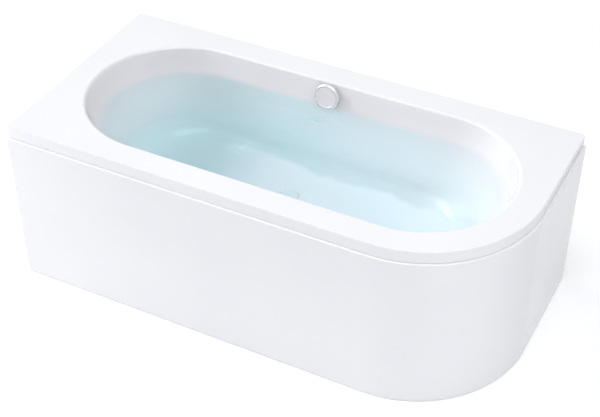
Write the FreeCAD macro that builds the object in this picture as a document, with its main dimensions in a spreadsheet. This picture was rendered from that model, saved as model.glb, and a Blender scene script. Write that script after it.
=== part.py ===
import FreeCAD, Part
import math
import os
import Sketcher
from FreeCAD import Placement, Rotation, Vector

# Driving dimensions in millimetres, one cell of the sheet each.
DIMENSIONS = {
    # formed tub
    "tub_length": 1700,
    "tub_width": 815,
    "rim_height": 625,
    "lip_drop": 42,
    "deck_width": 97,
    "basin_depth": 430,
    "end_inset": 140,
    "side_inset": 60,
    "floor_radius": 95,
    "rim_roll": 18,
    "rim_edge_radius": 5,
    "plan_corner_radius": 6,
    "shell_wall": 7,
    "cut_overrun": 20,
    # panel round the front and the right end
    "panel_stand": 8,
    "panel_lean": 6,
    "panel_wall": 4,
    "panel_floor_gap": 2,
    "panel_lip_gap": 1,
    "panel_edge_radius": 2,
    "panel_return": 25,
    "upstand_height": 22,
    "upstand_gap": 4,
    # clips of the panel
    "clip_width": 28,
    "clip_lap": 16,
    "clip_leg": 3,
    "clip_back": 6,
    "clip_play": 0.3,
    "floor_clip_width": 36,
    "floor_clip_wall": 2,
    "floor_clip_tongue": 12,
    "floor_clip_foot": 34,
    "floor_clip_hole_radius": 2.75,
    # stiffening board
    "board_length": 880,
    "board_width": 300,
    "board_thickness": 16,
    "board_corner": 70,
    "board_hole_radius": 62,
    # cradles under the board
    "cradle_inset": 50,
    "cradle_end": 30,
    "channel_width": 40,
    "channel_depth": 25,
    "channel_wall": 2.5,
    "screw_radius": 2.5,
    "screw_head_radius": 5,
    "screw_head_height": 3,
    "screw_length": 14,
    # levelling feet
    "foot_clear": 29.5,
    "rod_radius": 6,
    "rod_hole_play": 0.5,
    "rod_reach": 45,
    "thread_play": 0.1,
    "pad_radius": 32,
    "pad_height": 34,
    "pad_base": 8,
    "pad_edge": 5,
    "pad_neck_radius": 12,
    "nut_across": 19,
    "nut_height": 10,
    # hooks on the walls
    "bracket_width": 70,
    "bracket_plate": 55,
    "bracket_wall": 2,
    "bracket_hook": 20,
    "bracket_play": 0.3,
    "bracket_hole_radius": 3.25,
    "bracket_hole_spread": 40,
    "bracket_hole_drop": 34,
    # waste in the floor
    "waste_x": -25,
    "waste_hole_radius": 26,
    "flange_radius": 35,
    "flange_seat": 4,
    "flange_play": 0.3,
    "flange_plate": 2,
    "flange_gasket_height": 1.5,
    "flange_tube_gap": 1,
    "flange_tube_wall": 2.5,
    "flange_tube_length": 26,
    "strainer_plate": 4,
    "strainer_hole_radius": 4.5,
    "strainer_hole_circle": 14,
    "waste_gasket_height": 3,
    "waste_flange_radius": 42,
    "waste_flange_height": 5,
    "neck_wall": 5.9,
    "neck_length": 22,
    "chamber_radius": 40,
    "chamber_wall": 3,
    "chamber_length": 34,
    "cone_length": 14,
    "spigot_wall": 2.4,
    "spigot_length": 44,
    "spigot_lap": 29,
    "port_drop": 47,
    "port_radius": 12.5,
    "port_wall": 2,
    "port_reach": 62,
    "boss_radius": 6,
    "boss_reach": 48,
    # plug
    "cap_radius": 31,
    "cap_height": 5,
    "cap_edge": 2,
    "cap_gap": 0.4,
    "stem_radius": 4,
    "stem_length": 52,
    "stem_play": 0.08,
    "seal_gap": 0.3,
    "seal_width": 3,
    "seal_height": 4,
    # trap below the waste
    "trap_radius": 21,
    "trap_wall": 2.5,
    "trap_bend_radius": 34,
    "trap_drop": 37,
    "trap_rise": 35,
    "trap_tail": 24,
    "outlet_radius": 20,
    "outlet_spigot": 19,
    "outlet_wall": 2.2,
    "outlet_length": 150,
    "trap_nut_radius": 28,
    "trap_nut_length": 22,
    "trap_nut_lap": 12,
    "trap_seal_height": 3,
    "pipe_play": 0.1,
    # overflow in the back wall
    "overflow_drop": 50,
    "overflow_hole_radius": 26,
    "ring_gasket_height": 1.5,
    "ring_radius": 37,
    "ring_height": 5,
    "ring_sleeve_gap": 1.5,
    "ring_sleeve_wall": 3,
    "ring_sleeve_length": 24,
    "ring_hub_height": 6,
    "ring_hole_radius": 4,
    "ring_hole_circle": 13.5,
    "knob_radius": 47,
    "knob_height": 16,
    "knob_edge": 8,
    "knob_gap": 2,
    "knob_socket": 7,
    "knob_hollow": 4,
    "knob_rim": 5,
    "knob_groove_level": 3,
    "knob_groove_width": 2.5,
    "knob_groove_depth": 2.5,
    "knob_dish": 0.8,
    "knob_dish_inset": 2,
    "spindle_radius": 5,
    "spindle_play": 0.08,
    "drum_radius": 15,
    "drum_height": 6,
    "drum_depth": 34,
    "overflow_gasket_height": 3,
    "cup_flange_radius": 38,
    "cup_flange_height": 4,
    "cup_radius": 33,
    "cup_wall": 3,
    "cup_length": 46,
    # hose and cable between overflow and waste
    "hose_wall": 2.4,
    "hose_lap": 20,
    "hose_bend_radius": 90,
    "rib_height": 2,
    "rib_pitch": 12,
    "hose_cuff": 34,
    "hose_clip_width": 9,
    "hose_clip_wall": 2,
    "cable_offset": 27,
    "cable_radius": 2.5,
    "cable_lap": 14,
    "cable_bend_radius": 90,
}

# Places along the tub, as shares of its length or width from the centre.
PANEL_CLIP_SHARES = (-0.4, -0.14, 0.12)
FLOOR_CLIP_SHARES = (-0.36, 0.1)
END_CLIP_SHARE = 0.28
CORNER_TURN_SHARE = 0.5
SAME_LENGTH_SHARE = 0.0001
BOARD_SCREW_SHARES = (-0.4, -0.26, 0.26, 0.4)
BACK_BRACKET_SHARE = 0.32
END_BRACKET_SHARE = 0.12
RIB_SHARES = ((0.1, "valley"), (0.3, "crest"), (0.7, "crest"), (0.9, "valley"))
STRAINER_HOLES = 6
NUT_SIDES = 6
QUARTER_TURN = 90
FULL_TURN = 360

doc = FreeCAD.newDocument("bathtub")
sheet = doc.addObject("Spreadsheet::Sheet", "dim")
for row, (alias, size) in enumerate(DIMENSIONS.items(), start=1):
    sheet.set(f"A{row}", str(size))
    sheet.setAlias(f"A{row}", alias)
doc.recompute()

# Sizes that follow from the driving ones, as expressions of the sheet.
# The plan is drawn about the centre of the rim, which lies off the origin by half of the panel's stand.
RIM_X = "(-dim.panel_stand / 2)"
RIM_Y = "(dim.panel_stand / 2)"
HALF_LENGTH = "(dim.tub_length / 2)"
HALF_WIDTH = "(dim.tub_width / 2)"
CORNER_X = f"({HALF_LENGTH} - {HALF_WIDTH})"
LIP_LEVEL = "(dim.rim_height - dim.lip_drop)"
DECK_UNDERSIDE = "(dim.rim_height - dim.shell_wall)"
FLOOR_LEVEL = "(dim.rim_height - dim.basin_depth)"
FLOOR_UNDERSIDE = f"({FLOOR_LEVEL} - dim.shell_wall)"
BOARD_UNDERSIDE = f"({FLOOR_UNDERSIDE} - dim.board_thickness)"
CRADLE_X = "(dim.board_length / 2 - dim.cradle_inset)"
FOOT_Y = f"({HALF_WIDTH} - dim.deck_width - dim.side_inset + dim.foot_clear)"
PANEL_TOP = f"({LIP_LEVEL} - dim.panel_lip_gap)"
UPSTAND_OFFSET = "(-dim.shell_wall - dim.upstand_gap)"
UPSTAND_INNER = f"({UPSTAND_OFFSET} - dim.panel_wall)"
UPSTAND_TOP = f"({PANEL_TOP} + dim.upstand_height)"
PANEL_FOOT_OFFSET = "(dim.panel_stand - dim.panel_lean)"

WALL_LEAN = "atan(dim.side_inset / dim.basin_depth)"
WALL_THICKNESS = f"(dim.shell_wall * cos({WALL_LEAN}))"
OVERFLOW_Y = (f"({HALF_WIDTH} - dim.deck_width"
              " - dim.side_inset * dim.overflow_drop / dim.basin_depth)")
OVERFLOW_Z = "(dim.rim_height - dim.overflow_drop)"
WASTE_PORT_Z = f"({FLOOR_LEVEL} - dim.port_drop)"
FLANGE_TUBE = "(dim.waste_hole_radius - dim.flange_tube_gap)"
RING_SLEEVE = "(dim.overflow_hole_radius - dim.ring_sleeve_gap)"
SPIGOT = "(dim.trap_radius - dim.trap_wall - dim.pipe_play)"

# Levels of the drain's housing, down from the basin's floor.
NECK_TOP = "(-dim.shell_wall - dim.waste_gasket_height)"
NECK_FOOT = f"({NECK_TOP} - dim.neck_length)"
CHAMBER_FOOT = f"({NECK_FOOT} - dim.chamber_length)"
CONE_FOOT = f"({CHAMBER_FOOT} - dim.cone_length)"
SPIGOT_FOOT = f"({CONE_FOOT} - dim.spigot_length)"


def value(expression):
    """Work out an expression of the sheet as a number."""
    result = sheet.evalExpression(expression.replace("dim.", ""))
    return float(getattr(result, "Value", result))


pieces = []


def new_body(label, x="0", y="0", z="0", lean=None, loose=False):
    """A body placed from the centre of the rim, on the floor; a lean turns it about X."""
    body = doc.addObject("PartDesign::Body", label)
    body.Label = label
    if loose:
        return body
    if lean:
        body.Placement = Placement(Vector(), Rotation(Vector(1, 0, 0), value(lean)))
        body.setExpression("Placement.Rotation.Angle", lean)
    body.setExpression("Placement.Base.x", f"{RIM_X} + {x}")
    body.setExpression("Placement.Base.y", f"{RIM_Y} + {y}")
    body.setExpression("Placement.Base.z", z)
    pieces.append(body)
    return body


def new_sketch(body, plane="XY_Plane", level="0"):
    """An empty sketch on one of the body's planes, moved along its normal."""
    sketch = body.newObject("Sketcher::SketchObject", f"{body.Name}_sketch")
    support = next(item for item in body.Origin.OriginFeatures if item.Role == plane)
    sketch.AttachmentSupport = [(support, "")]
    sketch.MapMode = "FlatFace"
    sketch.setExpression("AttachmentOffset.Base.z", level)
    return sketch


def tie(sketch, kind, edge, spot, expression):
    """Hold one coordinate of a point at an expression of the sheet."""
    constraint = Sketcher.Constraint(f"Distance{kind}", -1, 1, edge, spot, value(expression))
    number = sketch.addConstraint(constraint)
    sketch.setExpression(f"Constraints[{number}]", expression)


def trace(sketch, start, steps):
    """Draw edges from a start along steps, and tie the end of each. A step is (x, y) for a line to it, or
    (x, y, centre x, centre y, side) for an arc to it that turns to the left or to the right."""
    edges = []
    here = Vector(value(start[0]), value(start[1]), 0)
    for step in steps:
        there = Vector(value(step[0]), value(step[1]), 0)
        if len(step) == 2:
            edges.append((sketch.addGeometry(Part.LineSegment(here, there)), 1, 2))
        else:
            edges.append(add_arc(sketch, here, there, *step[2:]))
        edge, start_spot, end_spot = edges[-1]
        tie(sketch, "X", edge, end_spot, step[0])
        tie(sketch, "Y", edge, end_spot, step[1])
        if len(edges) > 1:
            join(sketch, edges[-2], edges[-1])
        here = there
    return edges


def add_arc(sketch, here, there, centre_x, centre_y, side):
    """Add an arc between two points about a centre, which is tied across the arc's chord."""
    centre = Vector(value(centre_x), value(centre_y), 0)
    first, last = (here, there) if side == "left" else (there, here)
    angles = [math.atan2(point.y - centre.y, point.x - centre.x) for point in (first, last)]
    circle = Part.Circle(centre, Vector(0, 0, 1), (here - centre).Length)
    edge = sketch.addGeometry(Part.ArcOfCircle(circle, *angles))
    if abs(there.y - here.y) > abs(there.x - here.x):
        tie(sketch, "X", edge, 3, centre_x)
    else:
        tie(sketch, "Y", edge, 3, centre_y)
    return (edge, 1, 2) if side == "left" else (edge, 2, 1)


def join(sketch, edge, following):
    """Make one edge's end the next edge's start."""
    sketch.addConstraint(Sketcher.Constraint("Coincident", edge[0], edge[2], following[0], following[1]))


def draw(sketch, outline):
    """Draw a closed outline, which ends where it starts."""
    edges = trace(sketch, outline[-1], outline)
    join(sketch, edges[-1], edges[0])


def draw_path(sketch, path):
    """Draw an open path from its first point."""
    edge, start_spot, _ = trace(sketch, path[0], path[1:])[0]
    tie(sketch, "X", edge, start_spot, path[0][0])
    tie(sketch, "Y", edge, start_spot, path[0][1])


def draw_circle(sketch, x, y, radius):
    """Draw a circle about a point."""
    centre = Vector(value(x), value(y), 0)
    edge = sketch.addGeometry(Part.Circle(centre, Vector(0, 0, 1), value(radius)))
    tie(sketch, "X", edge, 3, x)
    tie(sketch, "Y", edge, 3, y)
    number = sketch.addConstraint(Sketcher.Constraint("Radius", edge, value(radius)))
    sketch.setExpression(f"Constraints[{number}]", radius)


def fill(sketch, outlines):
    """Draw several outlines; one of three expressions is a circle."""
    for outline in outlines:
        if isinstance(outline, tuple):
            draw_circle(sketch, *outline)
        else:
            draw(sketch, outline)
    return sketch


def pad(body, outlines, low, high, plane="XY_Plane"):
    """Add the outlines between two levels along the plane's normal."""
    sketch = fill(new_sketch(body, plane, low), outlines)
    feature = body.newObject("PartDesign::Pad", f"{body.Name}_pad")
    feature.Profile = sketch
    feature.setExpression("Length", f"{high} - {low}")


def pocket(body, outlines, low, high, plane="XY_Plane"):
    """Cut the outlines out between two levels along the plane's normal."""
    doc.recompute()
    before = body.Shape.Volume
    sketch = fill(new_sketch(body, plane, high), outlines)
    feature = body.newObject("PartDesign::Pocket", f"{body.Name}_pocket")
    feature.Profile = sketch
    feature.setExpression("Length", f"{high} - {low}")
    doc.recompute()
    if body.Shape.Volume >= before:
        raise RuntimeError(f"a cut in {body.Label} takes nothing away")


def loft(body, sections, cut=False):
    """Join outlines at several levels, each given as (outline, level), or cut them out."""
    sketches = [fill(new_sketch(body, "XY_Plane", level), [outline]) for outline, level in sections]
    kind = "SubtractiveLoft" if cut else "AdditiveLoft"
    feature = body.newObject(f"PartDesign::{kind}", f"{body.Name}_loft")
    feature.Profile = sketches[0]
    feature.Sections = sketches[1:]
    feature.Ruled = True


def revolve(body, outline, cut=False):
    """Turn an outline of (radius, height) about the body's own Z axis, or cut it out."""
    sketch = fill(new_sketch(body, "XZ_Plane"), [outline])
    feature = body.newObject("PartDesign::Groove" if cut else "PartDesign::Revolution", f"{body.Name}_turned")
    feature.Profile = sketch
    feature.ReferenceAxis = (sketch, ["V_Axis"])
    feature.Angle = FULL_TURN


def round_edges(body, radius, wanted):
    """Fillet the edges of the body so far that the test picks."""
    doc.recompute()
    base = body.Tip
    names = [f"Edge{number}" for number, edge in enumerate(base.Shape.Edges, start=1) if wanted(edge)]
    if not names:
        raise RuntimeError(f"no edge to round on {body.Label}")
    feature = body.newObject("PartDesign::Fillet", f"{body.Name}_fillet")
    feature.Base = (base, names)
    feature.setExpression("Radius", radius)
    doc.recompute()


def turned(label, outline, **place):
    """A body of one turned outline."""
    body = new_body(label, **place)
    revolve(body, outline)
    return body


def ring(label, inner, outer, low, high, **place):
    """A flat ring, such as a gasket."""
    return turned(label, [(inner, low), (outer, low), (outer, high), (inner, high)], **place)


def group(label, pattern, places):
    """One node of separate copies of a pattern body."""
    doc.recompute()
    node = doc.addObject("Part::Feature", label)
    node.Label = label
    copies = []
    for place in places:
        copy = pattern.Shape.copy()
        copy.Placement = place.multiply(copy.Placement)
        copies.append(copy)
    node.Shape = Part.makeCompound(copies)
    pieces.append(node)


def at_rim(x, y, z, turn=0):
    """A placement from the centre of the rim, turned about Z."""
    base = Vector(value(f"{RIM_X} + {x}"), value(f"{RIM_Y} + {y}"), value(z))
    return Placement(base, Rotation(Vector(0, 0, 1), turn))


def near(first, second):
    """Whether two lengths are the same."""
    return abs(first - second) < SAME_LENGTH_SHARE * value("dim.tub_length")


def flat_at(level):
    """A test for edges that lie flat at a level."""
    height = value(level)
    return lambda edge: near(edge.BoundBox.ZMin, height) and near(edge.BoundBox.ZMax, height)


def tub_outline(offset):
    """The rim's plan, grown by an offset: three square corners and one that follows the basin's end."""
    left, right = f"(-{HALF_LENGTH} - {offset})", f"({HALF_LENGTH} + {offset})"
    front, back = f"(-{HALF_WIDTH} - {offset})", f"({HALF_WIDTH} + {offset})"
    corner = (right, "0", CORNER_X, "0", "left")
    return [(left, back), (left, front), (CORNER_X, front), corner, (right, back)]


def stadium(depth, grow):
    """The basin's plan at a depth below the deck, grown by a wall."""
    half_width = f"({HALF_WIDTH} - dim.deck_width - dim.side_inset * ({depth}) / dim.basin_depth + {grow})"
    half_length = f"({HALF_LENGTH} - dim.deck_width - dim.end_inset * ({depth}) / dim.basin_depth + {grow})"
    end = f"({half_length} - {half_width})"
    low, high = f"(-{half_width})", half_width
    return [(end, low), (end, high, end, "0", "left"), (f"(-{end})", high),
            (f"(-{end})", low, f"(-{end})", "0", "left")]


def strip(outer, inner, end_gap="0"):
    """The plan of a band along the front, the rounded corner and the right end, between two offsets."""
    front, right = f"(-{HALF_WIDTH} - {outer})", f"({HALF_LENGTH} + {outer})"
    front_inner, right_inner = f"(-{HALF_WIDTH} - {inner})", f"({HALF_LENGTH} + {inner})"
    left, back = f"({end_gap} - {HALF_LENGTH})", f"({HALF_WIDTH} - {end_gap})"
    return [(left, front), (CORNER_X, front), (right, "0", CORNER_X, "0", "left"), (right, back),
            (right_inner, back), (right_inner, "0"),
            (CORNER_X, front_inner, CORNER_X, "0", "right"), (left, front_inner)]


def basin_space():
    """The space inside the basin, from above the deck to the rounded floor."""
    space = new_body("basin_space", loose=True)
    loft(space, [(stadium("(-dim.cut_overrun)", "0"), "(dim.rim_height + dim.cut_overrun)"),
                 (stadium("dim.basin_depth", "0"), FLOOR_LEVEL)])
    round_edges(space, "dim.floor_radius", flat_at(FLOOR_LEVEL))
    return space


def bath_shell():
    """The formed tub: deck and lip, a basin with sloping walls, the drain seat and the overflow hole."""
    space = basin_space()
    body = new_body("bath_shell")
    pad(body, [tub_outline("0")], LIP_LEVEL, "dim.rim_height")
    half_length, half_width = value(HALF_LENGTH), value(HALF_WIDTH)

    def square_corner(edge):
        middle = edge.CenterOfMass
        return near(abs(middle.x), half_length) and near(abs(middle.y), half_width)

    round_edges(body, "dim.plan_corner_radius", square_corner)
    round_edges(body, "dim.rim_edge_radius", flat_at("dim.rim_height"))
    pocket(body, [tub_outline("(-dim.shell_wall)")], LIP_LEVEL, DECK_UNDERSIDE)
    deck_middle, hull_depth = "(dim.shell_wall / 2)", "(dim.basin_depth + dim.shell_wall)"
    loft(body, [(stadium(deck_middle, "dim.shell_wall"), f"(dim.rim_height - {deck_middle})"),
                (stadium(hull_depth, "dim.shell_wall"), FLOOR_UNDERSIDE)])
    round_edges(body, "(dim.floor_radius + dim.shell_wall)", flat_at(FLOOR_UNDERSIDE))
    boolean = body.newObject("PartDesign::Boolean", "basin_cut")
    boolean.Type = "Cut"
    boolean.setObjects([space])
    round_edges(body, "dim.rim_roll", basin_edge_at("dim.rim_height"))
    round_edges(body, "(dim.rim_roll - dim.shell_wall)", basin_edge_at(DECK_UNDERSIDE))
    seat = ("dim.waste_x", "0", "(dim.flange_radius + dim.flange_play)")
    pocket(body, [seat], f"({FLOOR_LEVEL} - dim.flange_seat)", FLOOR_LEVEL)
    drain = ("dim.waste_x", "0", "dim.waste_hole_radius")
    pocket(body, [drain], FLOOR_UNDERSIDE, FLOOR_LEVEL)
    overflow_hole(body)


def basin_edge_at(level):
    """A test for the basin's own edges at a level, inside the middle of the deck."""
    limit = value(f"{HALF_WIDTH} - dim.deck_width / 2")
    flat = flat_at(level)
    return lambda edge: flat(edge) and max(edge.BoundBox.YMax, -edge.BoundBox.YMin) < limit


def overflow_hole(body):
    """A round hole square to the sloping back wall."""
    sketch = new_sketch(body)
    turn = f"90 deg - {WALL_LEAN}"
    sketch.AttachmentOffset = Placement(Vector(), Rotation(Vector(1, 0, 0), value(turn)))
    sketch.setExpression("AttachmentOffset.Rotation.Angle", turn)
    sketch.setExpression("AttachmentOffset.Base.x", "dim.waste_x")
    sketch.setExpression("AttachmentOffset.Base.y", OVERFLOW_Y)
    sketch.setExpression("AttachmentOffset.Base.z", OVERFLOW_Z)
    draw_circle(sketch, "0", "0", "dim.overflow_hole_radius")
    feature = body.newObject("PartDesign::Pocket", "overflow_hole")
    feature.Profile = sketch
    feature.setExpression("Length", "dim.shell_wall + dim.cut_overrun")
    doc.recompute()


def front_panel():
    """The panel: a skin that leans in to the floor, a ledge and upstand at the top, a return at the foot."""
    body = new_body("front_panel")
    foot_inner = f"({PANEL_FOOT_OFFSET} - dim.panel_wall)"
    loft(body, [(strip(PANEL_FOOT_OFFSET, foot_inner), "dim.panel_floor_gap"),
                (strip("dim.panel_stand", "(dim.panel_stand - dim.panel_wall)"), PANEL_TOP)])
    ledge = strip("(dim.panel_stand - dim.panel_wall / 2)", UPSTAND_INNER)
    pad(body, [ledge], f"({PANEL_TOP} - dim.panel_wall)", PANEL_TOP)
    upstand = strip(UPSTAND_OFFSET, UPSTAND_INNER, "(dim.shell_wall + dim.upstand_gap)")
    pad(body, [upstand], f"({PANEL_TOP} - dim.panel_wall / 2)", UPSTAND_TOP)
    foot = strip(f"({PANEL_FOOT_OFFSET} - dim.panel_wall / 2)", f"({PANEL_FOOT_OFFSET} - dim.panel_return)")
    pad(body, [foot], "dim.panel_floor_gap", "(dim.panel_floor_gap + dim.panel_wall)")
    reach, top_edge = value("dim.panel_stand"), flat_at(PANEL_TOP)

    def outer_top(edge):
        middle = edge.valueAt((edge.FirstParameter + edge.LastParameter) / 2)
        from_corner = math.hypot(max(middle.x - value(CORNER_X), 0), min(middle.y, 0))
        return top_edge(edge) and near(from_corner, value(HALF_WIDTH) + reach)

    round_edges(body, "dim.panel_edge_radius", outer_top)


def panel_clips():
    """Clips bonded under the deck, each with a slot for the panel's upstand."""
    clip = new_body("panel_clip", loose=True)
    outer_slot = f"({UPSTAND_OFFSET} + dim.clip_play)"
    inner_slot = f"({UPSTAND_INNER} - dim.clip_play)"
    outer, inner = f"({outer_slot} + dim.clip_leg)", f"({inner_slot} - dim.clip_back)"
    low, roof = f"({UPSTAND_TOP} - dim.clip_lap)", f"({UPSTAND_TOP} + dim.clip_play)"
    outline = [(inner, low), (inner_slot, low), (inner_slot, roof), (outer_slot, roof), (outer_slot, low),
               (outer, low), (outer, DECK_UNDERSIDE), (inner, DECK_UNDERSIDE)]
    pad(clip, [outline], "(-dim.clip_width / 2)", "(dim.clip_width / 2)", "XZ_Plane")
    places = [at_rim(f"{share} * dim.tub_length", f"(-{HALF_WIDTH})", "0", -QUARTER_TURN)
              for share in PANEL_CLIP_SHARES]
    turn = QUARTER_TURN * CORNER_TURN_SHARE
    corner_x = f"({CORNER_X} + {HALF_WIDTH} * cos({turn} deg))"
    places.append(at_rim(corner_x, f"(-{HALF_WIDTH} * sin({turn} deg))", "0", -turn))
    places.append(at_rim(HALF_LENGTH, f"{END_CLIP_SHARE} * dim.tub_width", "0"))
    group("panel_clips", clip, places)


def panel_floor_clips():
    """Stepped clips on the floor that hold down the panel's return."""
    clip = new_body("panel_floor_clip", loose=True)
    wall = "dim.floor_clip_wall"
    edge = f"({PANEL_FOOT_OFFSET} - dim.panel_return - dim.clip_play)"
    back, tip = f"({edge} - {wall})", f"({edge} + dim.floor_clip_tongue)"
    heel = f"({back} - dim.floor_clip_foot)"
    tongue = "(dim.panel_floor_gap + dim.panel_wall + dim.clip_play)"
    outline = [(heel, "0"), (edge, "0"), (edge, tongue), (tip, tongue), (tip, f"({tongue} + {wall})"),
               (back, f"({tongue} + {wall})"), (back, wall), (heel, wall)]
    pad(clip, [outline], "(-dim.floor_clip_width / 2)", "(dim.floor_clip_width / 2)", "XZ_Plane")
    hole = (f"(({heel} + {back}) / 2)", "0", "dim.floor_clip_hole_radius")
    pocket(clip, [hole], "(-dim.cut_overrun)", wall)
    places = [at_rim(f"{share} * dim.tub_length", f"(-{HALF_WIDTH})", "0", -QUARTER_TURN)
              for share in FLOOR_CLIP_SHARES]
    places.append(at_rim(HALF_LENGTH, f"{END_CLIP_SHARE} * dim.tub_width", "0"))
    group("panel_floor_clips", clip, places)


def screw_places():
    """Where the cradles are screwed to the board."""
    return [(f"({side} * {CRADLE_X})", f"({share} * dim.board_width)")
            for side in (-1, 1) for share in BOARD_SCREW_SHARES]


def base_board():
    """The stiffening board under the floor, open round the waste, with pilot holes for the screws."""
    body = new_body("base_board")
    half_length, half_width = "(dim.board_length / 2)", "(dim.board_width / 2)"
    end, side = f"({half_length} - dim.board_corner)", f"({half_width} - dim.board_corner)"
    outline = [(end, f"(-{half_width})"),
               (half_length, f"(-{side})", end, f"(-{side})", "left"), (half_length, side),
               (end, half_width, end, side, "left"), (f"(-{end})", half_width),
               (f"(-{half_length})", side, f"(-{end})", side, "left"), (f"(-{half_length})", f"(-{side})"),
               (f"(-{end})", f"(-{half_width})", f"(-{end})", f"(-{side})", "left")]
    pad(body, [outline, ("dim.waste_x", "0", "dim.board_hole_radius")], BOARD_UNDERSIDE, FLOOR_UNDERSIDE)
    pilots = [(x, y, "dim.screw_radius") for x, y in screw_places()]
    depth = "(dim.screw_length - dim.channel_wall)"
    pocket(body, pilots, BOARD_UNDERSIDE, f"({BOARD_UNDERSIDE} + {depth})")


def cradle(label, side):
    """A folded steel channel across the board, with holes for two foot rods and the screws."""
    body = new_body(label, x=f"({side} * {CRADLE_X})")
    half, wall = "(dim.channel_width / 2)", "dim.channel_wall"
    foot, web = f"({BOARD_UNDERSIDE} - dim.channel_depth)", f"({BOARD_UNDERSIDE} - {wall})"
    inner = f"({half} - {wall})"
    outline = [(f"(-{half})", foot), (f"(-{inner})", foot), (f"(-{inner})", web), (inner, web), (inner, foot),
               (half, foot), (half, BOARD_UNDERSIDE), (f"(-{half})", BOARD_UNDERSIDE)]
    pad(body, [outline], f"(-{FOOT_Y} - dim.cradle_end)", f"({FOOT_Y} + dim.cradle_end)", "XZ_Plane")
    rod_hole = "(dim.rod_radius + dim.rod_hole_play)"
    holes = [("0", f"({end} * {FOOT_Y})", rod_hole) for end in (-1, 1)]
    holes += [("0", f"({share} * dim.board_width)", "dim.screw_radius") for share in BOARD_SCREW_SHARES]
    pocket(body, holes, web, BOARD_UNDERSIDE)


def cradle_screws():
    """Pan-head screws from the channels into the board."""
    screw = new_body("cradle_screw", loose=True)
    head, shank = "dim.screw_head_radius", "dim.screw_radius"
    revolve(screw, [("0", "(-dim.screw_head_height)"), (head, "(-dim.screw_head_height)"), (head, "0"),
                    (shank, "0"), (shank, "dim.screw_length"), ("0", "dim.screw_length")])
    under = f"({BOARD_UNDERSIDE} - dim.channel_wall)"
    group("cradle_screws", screw, [at_rim(x, y, under) for x, y in screw_places()])


def foot_places():
    """The four feet: name, and place from the centre of the rim."""
    return [(f"{row}_{end}", f"({x} * {CRADLE_X})", f"({y} * {FOOT_Y})")
            for row, y in (("front", -1), ("back", 1)) for end, x in (("left", -1), ("right", 1))]


def on_circle(radius, count):
    """Points spaced evenly on a circle."""
    turns = [f"({index} * 360 deg / {count})" for index in range(count)]
    return [(f"({radius} * cos({turn}))", f"({radius} * sin({turn}))") for turn in turns]


def levelling_foot(name, x, y):
    """A plastic pad and the threaded rod that stands in it."""
    neck, bore = "dim.pad_neck_radius", "(dim.rod_radius + dim.thread_play)"
    shoulder = "(dim.pad_height / 2)"
    turned(f"foot_pad_{name}",
           [("0", "0"), ("dim.pad_radius", "0"), ("dim.pad_radius", "dim.pad_edge"), (neck, shoulder),
            (neck, "dim.pad_height"), (bore, "dim.pad_height"), (bore, "dim.pad_base"),
            ("0", "dim.pad_base")], x=x, y=y)
    turned(f"foot_rod_{name}",
           [("0", "dim.pad_base"), ("dim.rod_radius", "dim.pad_base"),
            ("dim.rod_radius", f"({BOARD_UNDERSIDE} + dim.rod_reach)"),
            ("0", f"({BOARD_UNDERSIDE} + dim.rod_reach)")], x=x, y=y)


def foot_nuts():
    """Two nuts on each rod, above and below the channel's web."""
    nut = new_body("foot_nut", loose=True)
    radius = f"(dim.nut_across / 2 / cos(180 deg / {NUT_SIDES}))"
    corners = on_circle(radius, NUT_SIDES)
    pad(nut, [corners, ("0", "0", "(dim.rod_radius + dim.thread_play)")], "0", "dim.nut_height")
    lower = f"({BOARD_UNDERSIDE} - dim.channel_wall - dim.nut_height)"
    places = [at_rim(x, y, level) for _, x, y in foot_places() for level in (BOARD_UNDERSIDE, lower)]
    group("foot_nuts", nut, places)


def wall_bracket(label, x, y, turn):
    """A hook on the wall: a plate with two holes, a shelf under the lip and a tongue behind it."""
    body = new_body(label, x=x, y=y)
    body.Placement = Placement(body.Placement.Base, Rotation(Vector(0, 0, 1), turn))
    wall = "dim.bracket_wall"
    behind = "(-dim.shell_wall - dim.bracket_play)"
    shelf, foot = f"({LIP_LEVEL} - {wall})", f"({LIP_LEVEL} - dim.bracket_plate)"
    top = f"({LIP_LEVEL} + dim.bracket_hook)"
    tongue = f"({behind} - {wall})"
    outline = [(f"(-{wall})", foot), ("0", foot), ("0", LIP_LEVEL), (behind, LIP_LEVEL), (behind, top),
               (tongue, top), (tongue, shelf), (f"(-{wall})", shelf)]
    pad(body, [outline], "(-dim.bracket_width / 2)", "(dim.bracket_width / 2)", "XZ_Plane")
    level = f"({LIP_LEVEL} - dim.bracket_hole_drop)"
    radius = "dim.bracket_hole_radius"
    holes = [(f"({side} * dim.bracket_hole_spread / 2)", level, radius) for side in (-1, 1)]
    pocket(body, holes, f"(-{wall})", "0", "YZ_Plane")


def waste_set():
    """Flange, gaskets, body and plug of the drain, drawn down from the basin's floor."""
    place = {"x": "dim.waste_x", "z": FLOOR_LEVEL}
    seat, gasket_top = "(-dim.flange_seat)", "(dim.flange_gasket_height - dim.flange_seat)"
    tube, bore = FLANGE_TUBE, f"({FLANGE_TUBE} - dim.flange_tube_wall)"
    foot, guide = "(-dim.flange_tube_length)", "(dim.stem_radius + dim.stem_play)"
    ring("flange_gasket", "dim.waste_hole_radius", "dim.flange_radius", seat, gasket_top, **place)
    plate_top = f"({gasket_top} + dim.flange_plate)"
    strainer = f"({foot} + dim.strainer_plate)"
    flange = turned("waste_flange",
                    [(guide, foot), (tube, foot), (tube, gasket_top), ("dim.flange_radius", gasket_top),
                     ("dim.flange_radius", plate_top), (bore, plate_top), (bore, strainer),
                     (guide, strainer)], **place)
    centres = on_circle("dim.strainer_hole_circle", STRAINER_HOLES)
    pocket(flange, [(x, y, "dim.strainer_hole_radius") for x, y in centres], foot, strainer)
    underside = "(-dim.shell_wall)"
    ring("waste_gasket", "dim.waste_hole_radius", "dim.waste_flange_radius", NECK_TOP, underside, **place)
    waste_body(place)
    plug(f"({plate_top} + dim.cap_gap)", bore, place)


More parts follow.
